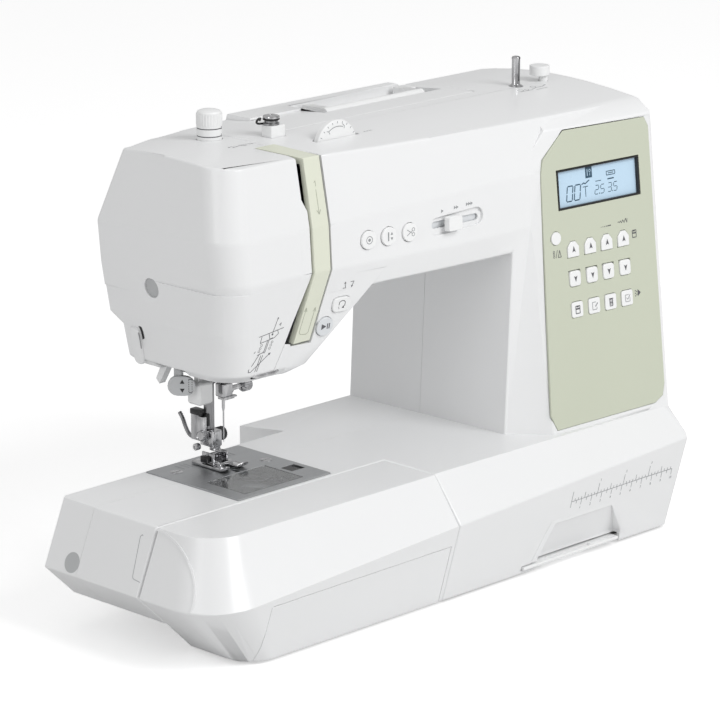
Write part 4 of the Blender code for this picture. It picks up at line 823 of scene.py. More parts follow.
def make_panel():
    left, right, low, high = 131.8, 204.6, 220.6, 245.6
    middle = from_front("control_panel", (left + right) / 2, 216.0)
    slope = (middle.to_3x3() @ UP).normalized()
    at = back(middle.translation)
    rise = (low + high) / 2 - at.z
    at = at + Vector((0, 0.11 * rise, rise))
    window = plane_at(at, slope)
    wide, tall = right - left, (high - low) * 1.006
    border = slab("display_frame", rounded(wide - 0.1, tall - 0.1, 0.6, 3), window, 3.2, low=-3.3)
    hollow = slab("display_hollow", rounded(wide - 2.4, tall - 2.2, 0.4, 3), window, 4.2, low=-2.9)
    finish(carve(border, hollow), "housing", BLACK, replaces=("display_board",))
    glass = slab("display_screen", rounded(wide - 2.3, tall - 2.1, 0.4, 3), window, 0.7, low=-3.0)
    finish(glass, "housing", SCREEN)
    pieces = [block("display_circuit", (121.7, 33.0, 146.7), (206.8, 35.0, 248.9), 0.3)]
    for i in range(6):
        x, z = 128 + 12 * i, 156 + 9 * (i % 3)
        pieces.append(block("board_chip", (x, 34.9, z), (x + 6, 36.4, z + 5), 0.2))
    finish(join("display_circuit", pieces), "housing", BOARD)

    digits = [("bar", *a, *b, 0.75) for a, b in seven_segments(-27.2, -8.6, 5.0, 9.6, "0")]
    digits += [("bar", *a, *b, 0.75) for a, b in seven_segments(-20.4, -8.6, 5.0, 9.6, "0")]
    for x, figure in ((-2.0, "2"), (3.0, "5"), (9.6, "3"), (14.6, "5")):
        digits += [("bar", *a, *b, 0.45) for a, b in seven_segments(x, -7.4, 3.2, 5.6, figure)]
    digits += [("disc", 2.2, -7.2, 0.4, 10), ("disc", 13.7, -7.2, 0.4, 10)]
    digits += [("path", [(-13.2, 0.6), (-11.2, 1.4), (-10.0, 0.6), (-8.8, 1.4), (-6.2, 2.6)], 0.7, False),
               ("bar", -12.2, -1.2, -7.8, -1.2, 0.5), ("bar", -10.0, -1.2, -10.0, -7.6, 0.5),
               ("frame", 13.0, 4.6, 7.6, 2.4, 0.5), ("bar", 10.6, 4.6, 15.4, 4.6, 0.5),
               ("bar", -0.8, 0.9, 4.2, 0.9, 0.45), ("bar", 10.0, 0.9, 15.6, 0.9, 0.8),
               ("shape", [(-9.4, 4.0), (-3.6, 4.0), (-3.6, 11.2), (-9.4, 11.2)])]
    stamp("display_figures", digits, window @ Matrix.Translation((0, 0, -2.3 * MM)), "housing", SCREEN_INK)
    stamp("display_window_marks", [("bar", -7.8, 5.4, -7.8, 9.8, 0.5), ("ring", -5.6, 8.6, 0.9, 0.35),
                                   ("bar", -5.6, 5.4, -5.6, 7.2, 0.4)],
          window @ Matrix.Translation((0, 0, -2.2 * MM)), "housing", SCREEN)

    marks = [("panel_mode_mark", 127.2, 193.6, [
                ("ring", -2.4, 1.7, 0.8, 0.3), ("ring", -2.4, 0.1, 0.8, 0.3), ("ring", -2.4, -1.5, 0.8, 0.3),
                ("bar", -0.9, -2.4, 0.7, 2.6, 0.3), ("path", [(1.2, -2.2), (2.5, 2.2), (3.8, -2.2)], 0.45, True)]),
             ("panel_length_mark", 172.0, 204.6, [
                ("bar", -4.8 + 1.5 * i, 0.0, -4.3 + 1.7 * i, 0.1, 0.3 + 0.08 * i) for i in range(6)]),
             ("panel_width_mark", 187.4, 205.3, [
                ("path", [(-5.0, 0.0), (-4.2, 0.5), (-3.4, -0.3), (-2.5, 0.8), (-1.5, -0.7), (-0.4, 1.2), (0.8, -0.9),
                          (2.2, 1.8), (3.2, -1.0), (3.6, 1.6)], 0.35, False)]),
             ("panel_store_mark", 196.6, 196.0, [
                ("frame", 0, 0, 3.4, 4.6, 0.5), ("bar", -1.4, 0.5, 1.4, 0.5, 0.9),
                ("bar", -1.0, 1.9, 0.6, 1.9, 0.8)]),
             ("panel_step_mark", 196.2, 157.6, [
                ("disc", -1.9, 1.7, 0.42, 10), ("disc", -1.9, 0, 0.42, 10), ("disc", -1.9, -1.7, 0.42, 10),
                ("disc", -0.7, 0.9, 0.42, 10), ("disc", -0.7, -0.9, 0.42, 10),
                ("shape", [(0.1, -2.3), (2.8, 0), (0.1, 2.3)])])]
    for name, x, z, shapes in marks:
        stamp(name, shapes, from_front("control_panel", x, z), "housing", INK)


def seven_segments(x, y, wide, tall, figure):
    """Bars of a seven-bar figure, leaning a little to the right, from its lower left corner."""
    lit = {"0": "abcdef", "2": "abged", "3": "abgcd", "5": "afgcd"}[figure]
    lean = 0.14 * tall / 2
    half, gap = tall / 2, 0.35
    place = {
        "a": ((x + 2 * lean + gap, y + tall), (x + wide + 2 * lean - gap, y + tall)),
        "g": ((x + lean + gap, y + half), (x + wide + lean - gap, y + half)),
        "d": ((x + gap, y), (x + wide - gap, y)),
        "f": ((x + lean, y + half + gap), (x + 2 * lean, y + tall - gap)),
        "e": ((x, y + gap), (x + lean, y + half - gap)),
        "b": ((x + wide + lean, y + half + gap), (x + wide + 2 * lean, y + tall - gap)),
        "c": ((x + wide, y + gap), (x + wide + lean, y + half - gap)),
    }
    return [place[letter] for letter in lit]


UP_MARK = [("shape", [(0, 2.2), (-1.4, -1.7), (0, -1.0), (1.4, -1.7)])]
DOWN_MARK = [("shape", [(0, -2.2), (1.4, 1.7), (0, 1.0), (-1.4, 1.7)])]
STORE_MARK = [("frame", 0, 0, 3.6, 4.8, 0.55), ("bar", -1.5, 0.6, 1.5, 0.6, 1.0), ("bar", -1.0, 2.0, 0.8, 2.0, 0.8)]
EDIT_MARK = [("path", [(1.0, 2.4), (-2.0, 2.4), (-2.0, -2.4), (1.8, -2.4), (1.8, -1.0)], 0.4, False),
             ("bar", 0.4, -0.6, 2.6, 1.6, 0.8)]
BIN_MARK = [("frame", 0, -0.4, 2.6, 4.2, 0.5), ("bar", -1.9, 2.2, 1.9, 2.2, 0.5), ("bar", -0.5, -1.8, -0.5, 1.0, 0.3),
            ("bar", 0.5, -1.8, 0.5, 1.0, 0.3), ("bar", -1.0, -0.4, 1.0, -0.4, 0.3)]
CHECK_MARK = [("path", [(1.0, 2.2), (-2.0, 2.2), (-2.0, -2.2), (2.0, -2.2), (2.0, 0.4)], 0.35, False),
              ("path", [(-1.0, 0.4), (0, -0.9), (2.4, 2.2)], 0.45, False)]


def make_keys():
    rows = {"up": (194.6, [UP_MARK] * 4), "down": (DOWN_KEYS_Z, [DOWN_MARK] * 4),
            "memory": (156.0, [STORE_MARK, EDIT_MARK, BIN_MARK, CHECK_MARK])}
    for row, (z, marks) in rows.items():
        for i, x in enumerate(KEY_COLUMNS):
            node = f"key_{row}_{i + 1}"
            if row == "down":
                cap = slab(node + "_cap", rounded(9.8, 10.0, 2.2), from_front(node, x, z), 5.0, edge=0.8, steps=3,
                           low=-5.0)
                finish(cap, node, WHITE_PART, replaces=(node,))
            else:
                soft_skin(node, node + "_cap", node, WHITE_PART, width=0.6, small=0.4, slope=20)
            stamp(node + "_mark", marks[i], from_front(node, x, z), node,
                  PALE_INK if row == "memory" and i in (1, 3) else INK)
    soft_skin("mode_key", "mode_key_cap", "mode_key", WHITE_PART, width=0.9, small=0.5, slope=40)


def make_arm_controls():
    buttons = ((-24.8, 226.2, [("ring", 0, 0, 2.5, 0.45), ("disc", 0, 0, 0.95)]),
               (-9.0, 226.1, [("bar", -0.9, -2.7, -0.9, 2.7, 0.9), ("arrow", 1.7, 1.4, 1.15, 0),
                              ("arrow", 1.7, -1.4, 1.15, 180)]),
               (7.7, 226.1, [("bar", -2.9, 1.9, 1.3, -0.8, 0.4), ("bar", -2.9, -1.9, 1.3, 0.8, 0.4),
                             ("ring", 2.2, 1.5, 1.25, 0.4), ("ring", 2.2, -1.5, 1.25, 0.4)]))
    for i, (x, z, shapes) in enumerate(buttons):
        node = f"arm_button_{i + 1}"
        soft_skin(node, node + "_cap", node, WHITE_PART, width=0.6, small=0.5, slope=40)
        stamp(node + "_mark", shapes, from_front(node, x, z), node, PALE_INK)
    for node, x, z, shapes in (
            ("reverse_button", -41.1, 188.1, [
                ("path", [(-2.6, -0.2), (-2.4, 1.6), (-1.0, 2.5), (1.0, 2.4), (2.1, 1.2), (2.0, -0.8), (0.9, -1.8)],
                 0.45, False), ("arrow", 0.9, -2.0, 1.0, 115), ("disc", -2.6, -1.5, 0.3, 8),
                ("disc", -2.2, -2.6, 0.3, 8)]),
            ("start_stop_button", -51.4, 175.4, [
                ("shape", [(-3.0, -1.9), (0.6, 0), (-3.0, 1.9)]), ("bar", 1.5, -1.8, 1.5, 1.8, 0.7),
                ("bar", 2.9, -1.8, 2.9, 1.8, 0.7)])):
        soft_skin(node, node + "_cap", node, BUTTON if node == "start_stop_button" else WHITE_PART,
                  width=0.6, small=0.5, slope=40)
        stamp(node + "_mark", shapes, from_front(node, x, z), node, INK)
    stamp("reverse_needle_mark", [("path", [(-4.4, -1.8), (-2.2, -1.8), (-3.2, 1.2)], 0.35, False),
                                  ("arrow", -3.0, 1.6, 0.9, -15),
                                  ("path", [(1.0, 1.8), (3.6, 1.8), (2.6, -0.8)], 0.35, False),
                                  ("arrow", 2.4, -1.3, 0.9, 165)],
          from_front("front_cover", -37.2, 200.0), "housing", INK, onto="front_cover")
    speed = []
    for x, count in ((-12.4, 1), (-0.8, 2), (10.4, 3)):
        speed += [("arrow", x + 1.9 * i - 0.95 * (count - 1), x * SLIDER_RISE, 1.25, -90) for i in range(count)]
    stamp("speed_marks", speed, from_front("front_cover", 47.0, 235.6), "housing", PALE_INK,
          onto="front_cover")
    soft_skin("speed_slider", "speed_slider_knob", "speed", WHITE_PART, width=1.2, small=0.5,
              slope=25)


def make_strip_marks():
    upper = from_front("thread_guide_cover", -60.8, 257.0)
    stamp("strip_arrow", [("bar", 0, -9.5, 0, 5.0, 0.35),
                          ("path", [(-1.6, -7.4), (0, -10.0), (1.6, -7.4)], 0.35, False),
                          ("path", [(-0.9, 9.0), (0.3, 10.2), (0.3, 6.8)], 0.35, False)],
          upper, "housing", FAINT_INK, onto="thread_guide_cover")
    lower = from_front("thread_guide_cover", -65.4, 183.0)
    lower = lower @ Matrix.Rotation(math.radians(-9), 4, "Z")
    loop = [(-4.2, 6.5), (-4.2, -9.2), (-2.8, -10.6), (2.0, -10.6), (3.6, -9.2), (3.6, 6.5)]
    stamp("strip_loop", [("path", loop, 0.35, False),
                         ("path", [(-5.4, 4.4), (-4.2, 7.0), (-3.0, 4.4)], 0.35, False),
                         ("path", [(2.4, 4.4), (3.6, 7.0), (4.8, 4.4)], 0.35, False)],
          lower, "housing", FAINT_INK, onto="thread_guide_cover")


def make_face_details():
    guide = [("bar", 6.2, 16.6, 3.6, 7.6, 0.3), ("disc", 6.3, 16.8, 0.55, 10), ("bar", -7.4, 6.8, 12.4, 9.4, 0.3),
             ("path", [(-5.0, 6.8), (-5.6, 2.4), (5.6, 4.0), (8.6, 6.2), (7.6, 8.6)], 0.3, False),
             ("path", [(0.6, 7.8), (2.0, 3.8), (4.6, 4.2)], 0.3, False), ("disc", 3.6, 6.6, 0.7, 10),
             ("bar", 0.4, 3.0, -1.8, -5.0, 0.3), ("bar", 1.6, 3.2, -0.6, -5.0, 0.3),
             ("bar", -11.6, -14.6, -4.6, -4.6, 0.3),
             ("path", [(-11.6, -14.6), (-11.4, -16.0), (-10.0, -15.8), (3.4, -6.4)], 0.3, False),
             ("arrow", 3.6, -6.2, 1.1, -55), ("bar", -6.6, -5.4, -1.0, -4.0, 0.3),
             ("bar", -3.4, -6.0, -6.4, -16.4, 0.3), ("bar", -1.8, -6.0, -4.9, -16.4, 0.3)]
    guide += [("ring", -4.2 - 0.7 * i, 0.8 - 1.9 * i, 0.85, 0.25) for i in range(3)]
    guide += [("ring", 4.4 - 0.7 * i, 1.4 - 1.9 * i, 0.85, 0.25) for i in range(3)]
    guide += [("path", [(8.2, 12.0), (9.6, 13.2), (9.2, 11.2)], 0.3, False), ("bar", -9.6, -3.6, -8.6, -2.4, 0.3)]
    stamp("threading_mark", guide, from_front("face_cover", -95.5, 171.0), "housing", INK, onto="face_cover")
    side = from_left("face_cover", 137.5, 161.0)
    pad = slab("cutter_guard", rounded(9.0, 25.0, 4.0, 5), side, 2.4, edge=1.5, steps=4, low=-0.9)
    finish(pad, "housing", WHITE)
    arc_points = [(1.2 + 4.2 * math.sin(math.radians(a)), 3.0 + 10.0 * math.cos(math.radians(a)))
                  for a in range(-8, 98, 9)]
    slot = arc_points + [(x - 1.9, y - 1.2) for x, y in reversed(arc_points)]
    # Painted shade: the slot is not cut, a thin black sheet stands in for the shade inside it.
    cutter = slab("thread_cutter_slot", slot, from_left("face_cover", 135.5, 164.0), 0.35, low=-0.15)
    finish(cutter, "housing", BLACK_MATT, smooth=0)
    blade = wire("thread_cutter_blade",
                 [(-127.0, 133.6, 170.0), (-126.9, 132.0, 165.6), (-126.6, 131.6, 160.4)], 0.35)
    finish(blade, "housing", STEEL)
    rod = wire("chin_thread_guide", [(-103.5, 62.0, 153.2), (-103.0, 59.6, 151.4), (-96.0, 59.0, 151.2),
                                     (-84.0, 59.0, 151.2), (-81.4, 59.4, 152.0), (-81.0, 62.0, 153.8)], 0.95, 12)
    finish(rod, "housing", CHROME)
    # Painted shadow: this black block behind the chin guide rod is no plate, it stands in for the shade of the gap
    # above the rod.
    plate = block("chin_guide_plate", (-103.0, 59.8, 150.2), (-83.0, 62.5, 151.6), 0.3)
    finish(plate, "housing", BLACK)


# ---------------------------------------------------------------- needle area

def knurl(thing, axis_at, axis, low, high, share, every=2):
    """Press grooves into a turned piece between two heights along its axis."""
    axis = Vector(axis).normalized()
    base = spot(*axis_at)
    ring = {}
    for corner in thing.data.vertices:
        height = (corner.co - base).dot(axis)
        out = corner.co - base - axis * height
        if low * MM <= height <= high * MM and out.length > 0.5 * MM:
            ring.setdefault(round(height / MM, 2), []).append((corner, out))
    side = axis.orthogonal().normalized()
    other = axis.cross(side)
    for corners in ring.values():
        ordered = sorted(corners, key=lambda c: math.atan2(c[1].dot(other), c[1].dot(side)))
        for i, (corner, out) in enumerate(ordered):
            if i % every == 0:
                corner.co -= out * (1 - share)
    thing.data.update()
    return thing


def make_needle_area():
    bar = stack("presser_rod", (-82, 120, 103.0), UP, [(2.9, 0), (3.3, 0.4), (3.3, 84), (2.9, 84.6)], 32)
    collar = stack("presser_collar", (-82, 120, 132.0), UP, [(3.4, 0), (4.6, 0.5), (4.6, 7.0), (3.6, 7.6)], 32)
    screw = stack("collar_screw", (-83.6, 118.0, 135.8), (-0.72, -0.68, 0.05),
                  [(2.4, 0), (3.9, 3.2), (4.1, 3.6), (4.1, 5.8), (3.3, 6.6), (1.2, 6.7), (1.1, 6.2)], 24)
    finish(bar, "presser", STEEL, replaces=("presser_bar",))
    finish(collar, "presser", STEEL)
    finish(screw, "presser", CHROME)

    ankle = join("foot_ankle", [
        block("ankle", (-86.4, 112.2, 92.6), (-78.2, 124.0, 103.0), 0.9, 3),
        block("ankle_tongue", (-85.0, 113.0, 90.2), (-79.0, 117.0, 97.0), 0.5),
        block("ankle_side", (-89.6, 117.2, 96.0), (-86.2, 128.6, 112.0), 0.7),
        block("ankle_step", (-89.4, 121.5, 104.0), (-84.8, 128.8, 113.0), 0.6)])
    finish(ankle, "presser", CHROME, replaces=("foot_holder",))
    clip = join("foot_clip", [
        block("clip_top", (-90.0, 119.6, 112.2), (-84.4, 129.0, 115.9), 0.7),
        block("clip_leg", (-86.6, 117.0, 105.5), (-84.0, 120.8, 113.4), 0.5)])
    finish(clip, "presser", BLACK)
    side_screw = stack("ankle_screw", (-89.2, 118.7, 100.2), (-1, -0.12, 0),
                       [(3.0, -1.0), (3.3, -0.4), (3.3, 0.5), (2.7, 1.1), (2.5, 0.7)], 28)
    pin = stack("ankle_roller", (-88.6, 122.4, 92.4), (-1, 0, 0), [(2.0, -3.0), (2.2, -2.7), (2.2, 0.2), (1.8, 0.6),
                                                                  (0.9, 0.6), (0.8, 0.1)], 24)
    finish(join("ankle_screws", [side_screw, pin]), "presser", CHROME)
    thumb = stack("foot_thumb_screw", (-78.4, 119.0, 98.2), (1, 0, 0),
                  [(1.6, 0), (1.6, 0.8), (4.1, 1.0), (4.4, 1.4), (4.4, 6.6), (4.0, 7.2), (2.0, 7.6)], 40)
    finish(knurl(thumb, (-78.4, 119.0, 98.2), (1, 0, 0), 0.9, 7.3, 0.93), "presser", BLACK)
    lever = wire("foot_release_lever", [(-87.6, 125.0, 97.0), (-88.0, 129.4, 96.8), (-88.0, 132.8, 99.0),
                                        (-88.0, 135.4, 103.0), (-88.0, 137.4, 107.4), (-88.0, 140.2, 110.6)], 1.25, 12)
    finish(lever, "presser", STEEL)

    sole_outline = [(-4.4, -21.6), (-6.2, -23.4), (-9.0, -24.0), (-10.0, -22.0), (-9.6, 7.4), (-8.2, 8.8), (6.4, 8.8),
                    (7.6, 7.4), (8.6, -6.0), (10.0, -22.0), (9.0, -24.0), (3.4, -23.6), (1.6, -21.4), (1.6, -10.0),
                    (-1.8, -10.0), (-2.2, -20.0)]
    sole = slab("foot_sole", sole_outline, plane_at((-82, 118.6, 81.3), (0, 0, 1), (0, 1, 0)), 1.7, edge=0.45)
    choose_only(sole)
    ops.object.mode_set(mode="EDIT")
    ops.mesh.select_all(action="SELECT")
    tip = spot(-82, 100.6, 81.3)
    ops.mesh.bisect(plane_co=tip, plane_no=(0, 1, 0))
    ops.mesh.select_all(action="SELECT")
    ops.mesh.bisect(plane_co=spot(-82, 97.6, 81.3), plane_no=(0, 1, 0))
    ops.object.mode_set(mode="OBJECT")
    for corner in sole.data.vertices:
        ahead = (tip.y - corner.co.y) / MM
        if ahead > 0:
            corner.co.z += 0.075 * ahead * ahead * MM
    ears = [block("foot_ear", (x, 109.6, 82.4), (x + 1.5, 120.6, 89.6), 0.6) for x in (-88.2, -77.2)]
    heel = block("foot_heel", (-88.4, 119.0, 82.4), (-75.6, 121.6, 86.6), 0.6)
    needle_way = block("needle_hole_cut", (-84.6, 105.4, 80.0), (-79.4, 108.6, 90.0), 0)
    deck = carve(block("foot_deck", (-87.4, 104.6, 82.4), (-76.4, 109.9, 84.8), 0.5), needle_way)
    pivot = bar_between("foot_pin", (-89.4, 115.0, 88.2), (-74.6, 115.0, 88.2), 0.9)
    finish(join("zigzag_foot", [sole, *ears, heel, deck, pivot]), "foot", CHROME,
           replaces=("presser_foot",))
    lock = block("foot_lock_button", (-91.2, 112.6, 83.6), (-88.5, 118.6, 87.6), 0.5)
    finish(lock, "foot", BLACK)

    rod = stack("needle_rod", (-82, 107, 134.0), UP, [(2.6, 0), (3.0, 0.4), (3.0, 124), (2.6, 124.5)], 28)
    clamp = join("needle_clamp", [
        block("clamp_body", (-86.0, 103.0, 126.4), (-77.4, 110.2, 135.0), 0.9, 3),
        block("clamp_lip", (-85.2, 102.6, 124.6), (-76.4, 108.8, 126.8), 0.5),
        block("clamp_guide", (-79.0, 103.4, 125.0), (-73.6, 106.2, 126.2), 0.35),
        stack("clamp_boss", (-78.0, 107.0, 130.0), (1, 0, 0), [(3.0, 0), (3.2, 0.3), (3.0, 2.2), (2.4, 2.6)], 24)])
    screw = stack("clamp_screw", (-77.6, 107, 130.0), (1, 0, 0),
                  [(1.7, 0), (1.7, 10.4), (3.6, 10.8), (4.2, 11.4), (4.2, 16.6), (3.6, 17.2), (2.0, 17.5)], 40)
    finish(rod, "needle_unit", CHROME, replaces=("needle_bar",))
    finish(clamp, "needle_unit", CHROME)
    finish(knurl(screw, (-77.6, 107, 130.0), (1, 0, 0), 11.2, 16.8, 0.9), "needle_unit", CHROME)
    caps = [stack("clamp_cap", (x, 104.6, 134.6), UP, [(1.5, 0), (1.8, 0.3), (1.8, 2.4), (1.4, 2.8)], 6)
            for x in (-83.8, -79.6)]
    finish(join("clamp_caps", caps), "needle_unit", BLACK)
    needle = stack("needle_shaft", (-82, 107, 96.5), UP,
                   [(0.06, 0), (0.4, 3.2), (0.46, 8.0), (0.5, 20.0), (1.0, 22.6), (1.0, 29.2)], 16)
    finish(needle, "needle_unit", CHROME, replaces=("needle",))

    soft_skin("needle_threader", "threader_tab", "threader", WHITE_PART, width=1.3, small=0.6,
              slope=20)
    soft_skin("buttonhole_lever", "buttonhole_tab", "buttonhole", GREY_TAB, width=0.8, small=0.5,
              slope=25)
    at, normal = touch("buttonhole_lever", (-112 - 30, 112 - 26.4, 138.0), (0.75, 0.66, 0))
    tab = plane_at(at, normal)
    stamp("buttonhole_marks", [("arrow", 0.6, 2.4, 1.7, 0), ("arrow", 0.6, -2.4, 1.7, 180)] +
          [("bar", 4.6, -3.4 + 1.4 * i, 4.6, -2.7 + 1.4 * i, 0.4) for i in range(6)] +
          [("bar", 6.6, -3.4 + 1.4 * i, 6.6, -2.7 + 1.4 * i, 0.4) for i in range(6)] +
          [("bar", 4.6, 4.4, 6.6, 4.4, 0.4), ("bar", 4.6, -4.0, 6.6, -4.0, 0.4)], tab, "buttonhole", BLACK)


# ---------------------------------------------------------------- needle plate and bobbin

def make_bed_fittings():
    soft_skin("needle_plate", "needle_plate_skin", "housing", PLATE, width=0.35, small=0.25)
    screws = []
    for x, y in ((-109.7, 120.1), (-53.4, 99.6)):
        head = stack("plate_screw", (x, y, 80.7), UP, [(4.0, 0), (4.0, 0.2), (3.5, 0.35), (3.2, 0.35)], 32)
        groove = block("screw_slot", (x - 5, y - 0.45, 80.85), (x + 5, y + 0.45, 82.0), 0)
        screws.append(carve(head, groove))
    finish(join("plate_screws", screws), "housing", CHROME)
    top = plane_at((-82, 107, 80.8), (0, 0, 1), (0, 1, 0))
    lines = [("bar", -x, -20.5, -x, -13.0, 0.25) for x in (16, 19, 22, 25.4)]
    lines += [("bar", x, 14.0, x, 23.0, 0.25) for x in (-20, -16, -13, 10, 13, 16, 19, 22.5)]
    stamp("plate_lines", lines, top, "housing", PALE_INK)
    soft_skin("bobbin_cover", "bobbin_cover_skin", "bobbin_lid", CLEAR, width=0.3, small=0.2)
    rim = plane_at((-86.5, 75.0, 80.8), (0, 0, 1), (0, 1, 0))
    dark = [("shape", [(-23.6, -16.0), (-6.0, -16.0), (-12.5, -7.0), (-23.6, 6.0)]),
            ("path", [(-23.6, 6.0), (-23.6, 15.4), (-10.0, 15.4)], 0.5, False)]
    stamp("bobbin_cover_shade", dark, rim @ Matrix.Translation((0, 0, -1.55 * MM)), "bobbin_lid", BLACK_MATT,
          lift=0.0)
    stamp("bobbin_cover_marks", [("ring", 4.0, 4.0, 9.0, 0.3), ("arrow", 20.6, -12.5, 1.2, -95),
                                 ("path", [(4.0, -5.0), (10.0, -11.0), (20.0, -12.5)], 0.3, False)],
          rim, "bobbin_lid", PALE_INK)
    reel = stack("bobbin_reel", (-82, 79, 62.2), UP,
                 [(9.6, 0), (9.9, 0.2), (9.9, 0.9), (5.0, 1.2), (5.0, 8.6), (9.9, 8.9), (9.9, 9.6), (9.6, 9.8),
                  (3.2, 9.8), (3.0, 9.2)], 40)
    finish(reel, "bobbin_spool", SMOKE, replaces=("bobbin",))
    wound = stack("bobbin_thread", (-82, 79, 63.5), UP, [(5.1, 0), (8.0, 0.1), (8.0, 7.0), (5.1, 7.1)], 40)
    finish(wound, "bobbin_spool", THREAD)
    soft_skin("cover_latch", "cover_latch_skin", "latch", BLACK, width=0.4, small=0.3)


# ---------------------------------------------------------------- top

def make_top_fittings():
    low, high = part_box("pressure_dial")
    bottom, top = back(low).z, back(high).z
    tall = top - bottom
    levels = [(7.6, 0), (7.8, 0.2)]
    foot = 284.6 - bottom
    for ring in (foot + 2.2, foot + 6.9):
        levels += [(7.8, ring), (7.35, ring + 0.1), (7.35, ring + 0.7), (7.8, ring + 0.8)]
    grip = foot + 9.0
    levels += [(7.8, grip), (8.0, grip + 0.4), (8.0, tall - 3.0), (7.6, tall - 2.2), (6.9, tall - 1.2),
               (5.2, tall - 0.6), (3.0, tall - 0.25), (0.8, tall - 0.1)]
    dial = stack("pressure_knob", (-79.8, 119.3, bottom), UP, levels, 56)
    knurl(dial, (-79.8, 119.3, bottom), UP, grip + 0.2, tall - 2.9, 0.93)
    finish(dial, "pressure", WHITE_PART, replaces=("pressure_dial",))
    band = [(7.45, 0.12), (7.5, 0.14), (7.5, 0.66), (7.45, 0.68)]
    rings = [stack("dial_ring", (-79.8, 119.3, bottom + ring), UP, band, 48) for ring in (foot + 2.2, foot + 6.9)]
    finish(join("pressure_rings", rings), "pressure", INK)
    for i, (height, figure) in enumerate(((foot + 2.6, "2"), (foot + 7.2, "3"))):
        front = plane_at((-79.8 + 7.86 * 0.42, 119.3 - 7.86 * 0.908, bottom + height + 0.4), (0.42, -0.908, 0))
        stamp(f"pressure_figure_{i + 2}", [("text", 0, 0, 2.6, figure)], front, "pressure", INK)

    low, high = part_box("winder_guide")
    ground = 284.4
    foot = join("guide_foot", [block("guide_block", (-52.5, 93.6, back(low).z), (-40.7, 102.4, ground + 7.4), 0.7,
                                     3)])
    finish(foot, "housing", WHITE_PART, replaces=("winder_guide",))
    tower = stack("guide_discs", (-47.5, 99.0, ground + 7.2), UP,
                  [(4.9, 0), (5.0, 0.3), (5.0, 1.4), (4.2, 1.7), (4.2, 2.9), (3.0, 3.1), (3.0, 3.4)], 40)
    finish(tower, "housing", STEEL)
    dark = stack("guide_washer", (-47.5, 99.0, ground + 10.4), UP, [(3.2, 0), (5.2, 0.2), (5.2, 0.9), (3.6, 1.3)], 40)
    finish(dark, "housing", BLACK)
    cap = stack("guide_cap", (-47.5, 99.0, ground + 11.3), UP,
                [(4.4, 0), (5.0, 0.3), (5.2, 0.9), (5.0, 1.6), (3.6, 2.0), (1.2, 2.0), (1.0, 1.7)], 40)
    finish(cap, "housing", CHROME)
    hook = wire("guide_hook", [(-49.5, 101.5, ground + 8.2), (-53.6, 104.0, ground + 7.6),
                               (-56.0, 103.4, ground + 9.4), (-55.8, 101.6, ground + 11.6),
                               (-53.4, 101.8, ground + 11.8), (-52.8, 103.6, ground + 10.0)], 0.7, 10)
    finish(hook, "housing", BLACK)

    soft_skin("tension_dial", "tension_wheel", "tension", WHITE_PART, width=0.5, small=0.4, slope=40)
    face = plane_at((-18.5, 71.25, 277.0), (0, -1, 0))
    arc = [(13.4 * math.sin(math.radians(a)), 13.4 * math.cos(math.radians(a))) for a in range(-34, 24, 6)]
    stamp("tension_marks", [("path", arc, 0.45, False),
                            ("path", [(-9.2, 11.4), (-7.4, 11.0), (-6.6, 9.4)], 0.4, False),
                            ("path", [(4.2, 14.4), (5.8, 13.0), (5.6, 11.4)], 0.4, False)] +
          [("bar", 15.2 * math.sin(a), 15.2 * math.cos(a), 16.6 * math.sin(a), 16.6 * math.cos(a), 0.35)
           for a in (math.radians(15 * i) for i in range(-5, 6))], face, "tension", PALE_INK)
    stamp("tension_pointer", [("shape", [(0.6, -0.9), (3.6, 0.5), (0.4, 1.4)])],
          on_top("front_cover", -2.0, 71.5), "housing", INK)
    stamp("tension_scale", [("bar", 0.8 * i - 4, 0, 0.8 * i - 3.7, 0.5 + 0.4 * (i % 3), 0.25) for i in range(10)],
          on_top("front_cover", 9.0, 72.0), "housing", PALE_INK)
    stamp("threading_path_mark", [("path", [(-9, 1.5), (-2, 2.4), (6, 0.6), (9, -0.8)], 0.3, False),
                                  ("path", [(-8, -0.6), (-1, 0.6), (3, -1.4)], 0.3, False),
                                  ("ring", 4.0, 2.6, 1.5, 0.3), ("arrow", -9.2, 1.4, 0.9, 95)],
          on_top("face_cover", -79.0, 92.0), "housing", INK)

    soft_skin("carry_handle", "handle_bar", "handle", WHITE_PART, width=1.1, small=0.6, slope=30)
    low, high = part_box("winder_spindle")
    bottom, tall = back(low).z, back(high).z - back(low).z
    ground = 284.2 - bottom
    pin = stack("winder_pin", (171.5, 98, bottom), UP,
                [(2.6, 0), (2.8, 0.2), (2.8, ground), (5.1, ground + 0.1), (5.2, ground + 0.4), (4.2, ground + 1.0),
                 (3.0, ground + 1.7), (2.7, ground + 2.4), (2.7, tall - 2.2), (2.9, tall - 1.7), (2.9, tall - 0.9),
                 (2.4, tall - 0.2), (2.0, tall - 0.05)], 28)
    groove = block("pin_slot", (171.1, 92, bottom + ground + 4.0), (171.9, 104, bottom + tall + 1), 0)
    finish(carve(pin, groove), "winder", CHROME, replaces=("winder_spindle",))
    soft_skin("winder_stop", "winder_stop_cap", "housing", WHITE_PART, width=0.7, small=0.6,
              slope=35)
    spools = [("ring", -12, 1.0, 2.2, 0.3), ("ring", -7, 0.2, 1.6, 0.3), ("bar", -15, -1.8, -4, -2.2, 0.3),
              ("path", [(-3, -1.2), (3, 0.6), (8, 0.2), (12, 2.0)], 0.3, False), ("ring", 2.0, 3.0, 2.0, 0.3),
              ("arrow", 12.6, 2.2, 1.0, -70), ("bar", -2, -3.8, 9, -3.4, 0.3)]
    stamp("winder_marks", spools, on_top("front_cover", 176.0, 86.0), "housing", PALE_INK, onto="front_cover")


# ---------------------------------------------------------------- base, tray and ruler

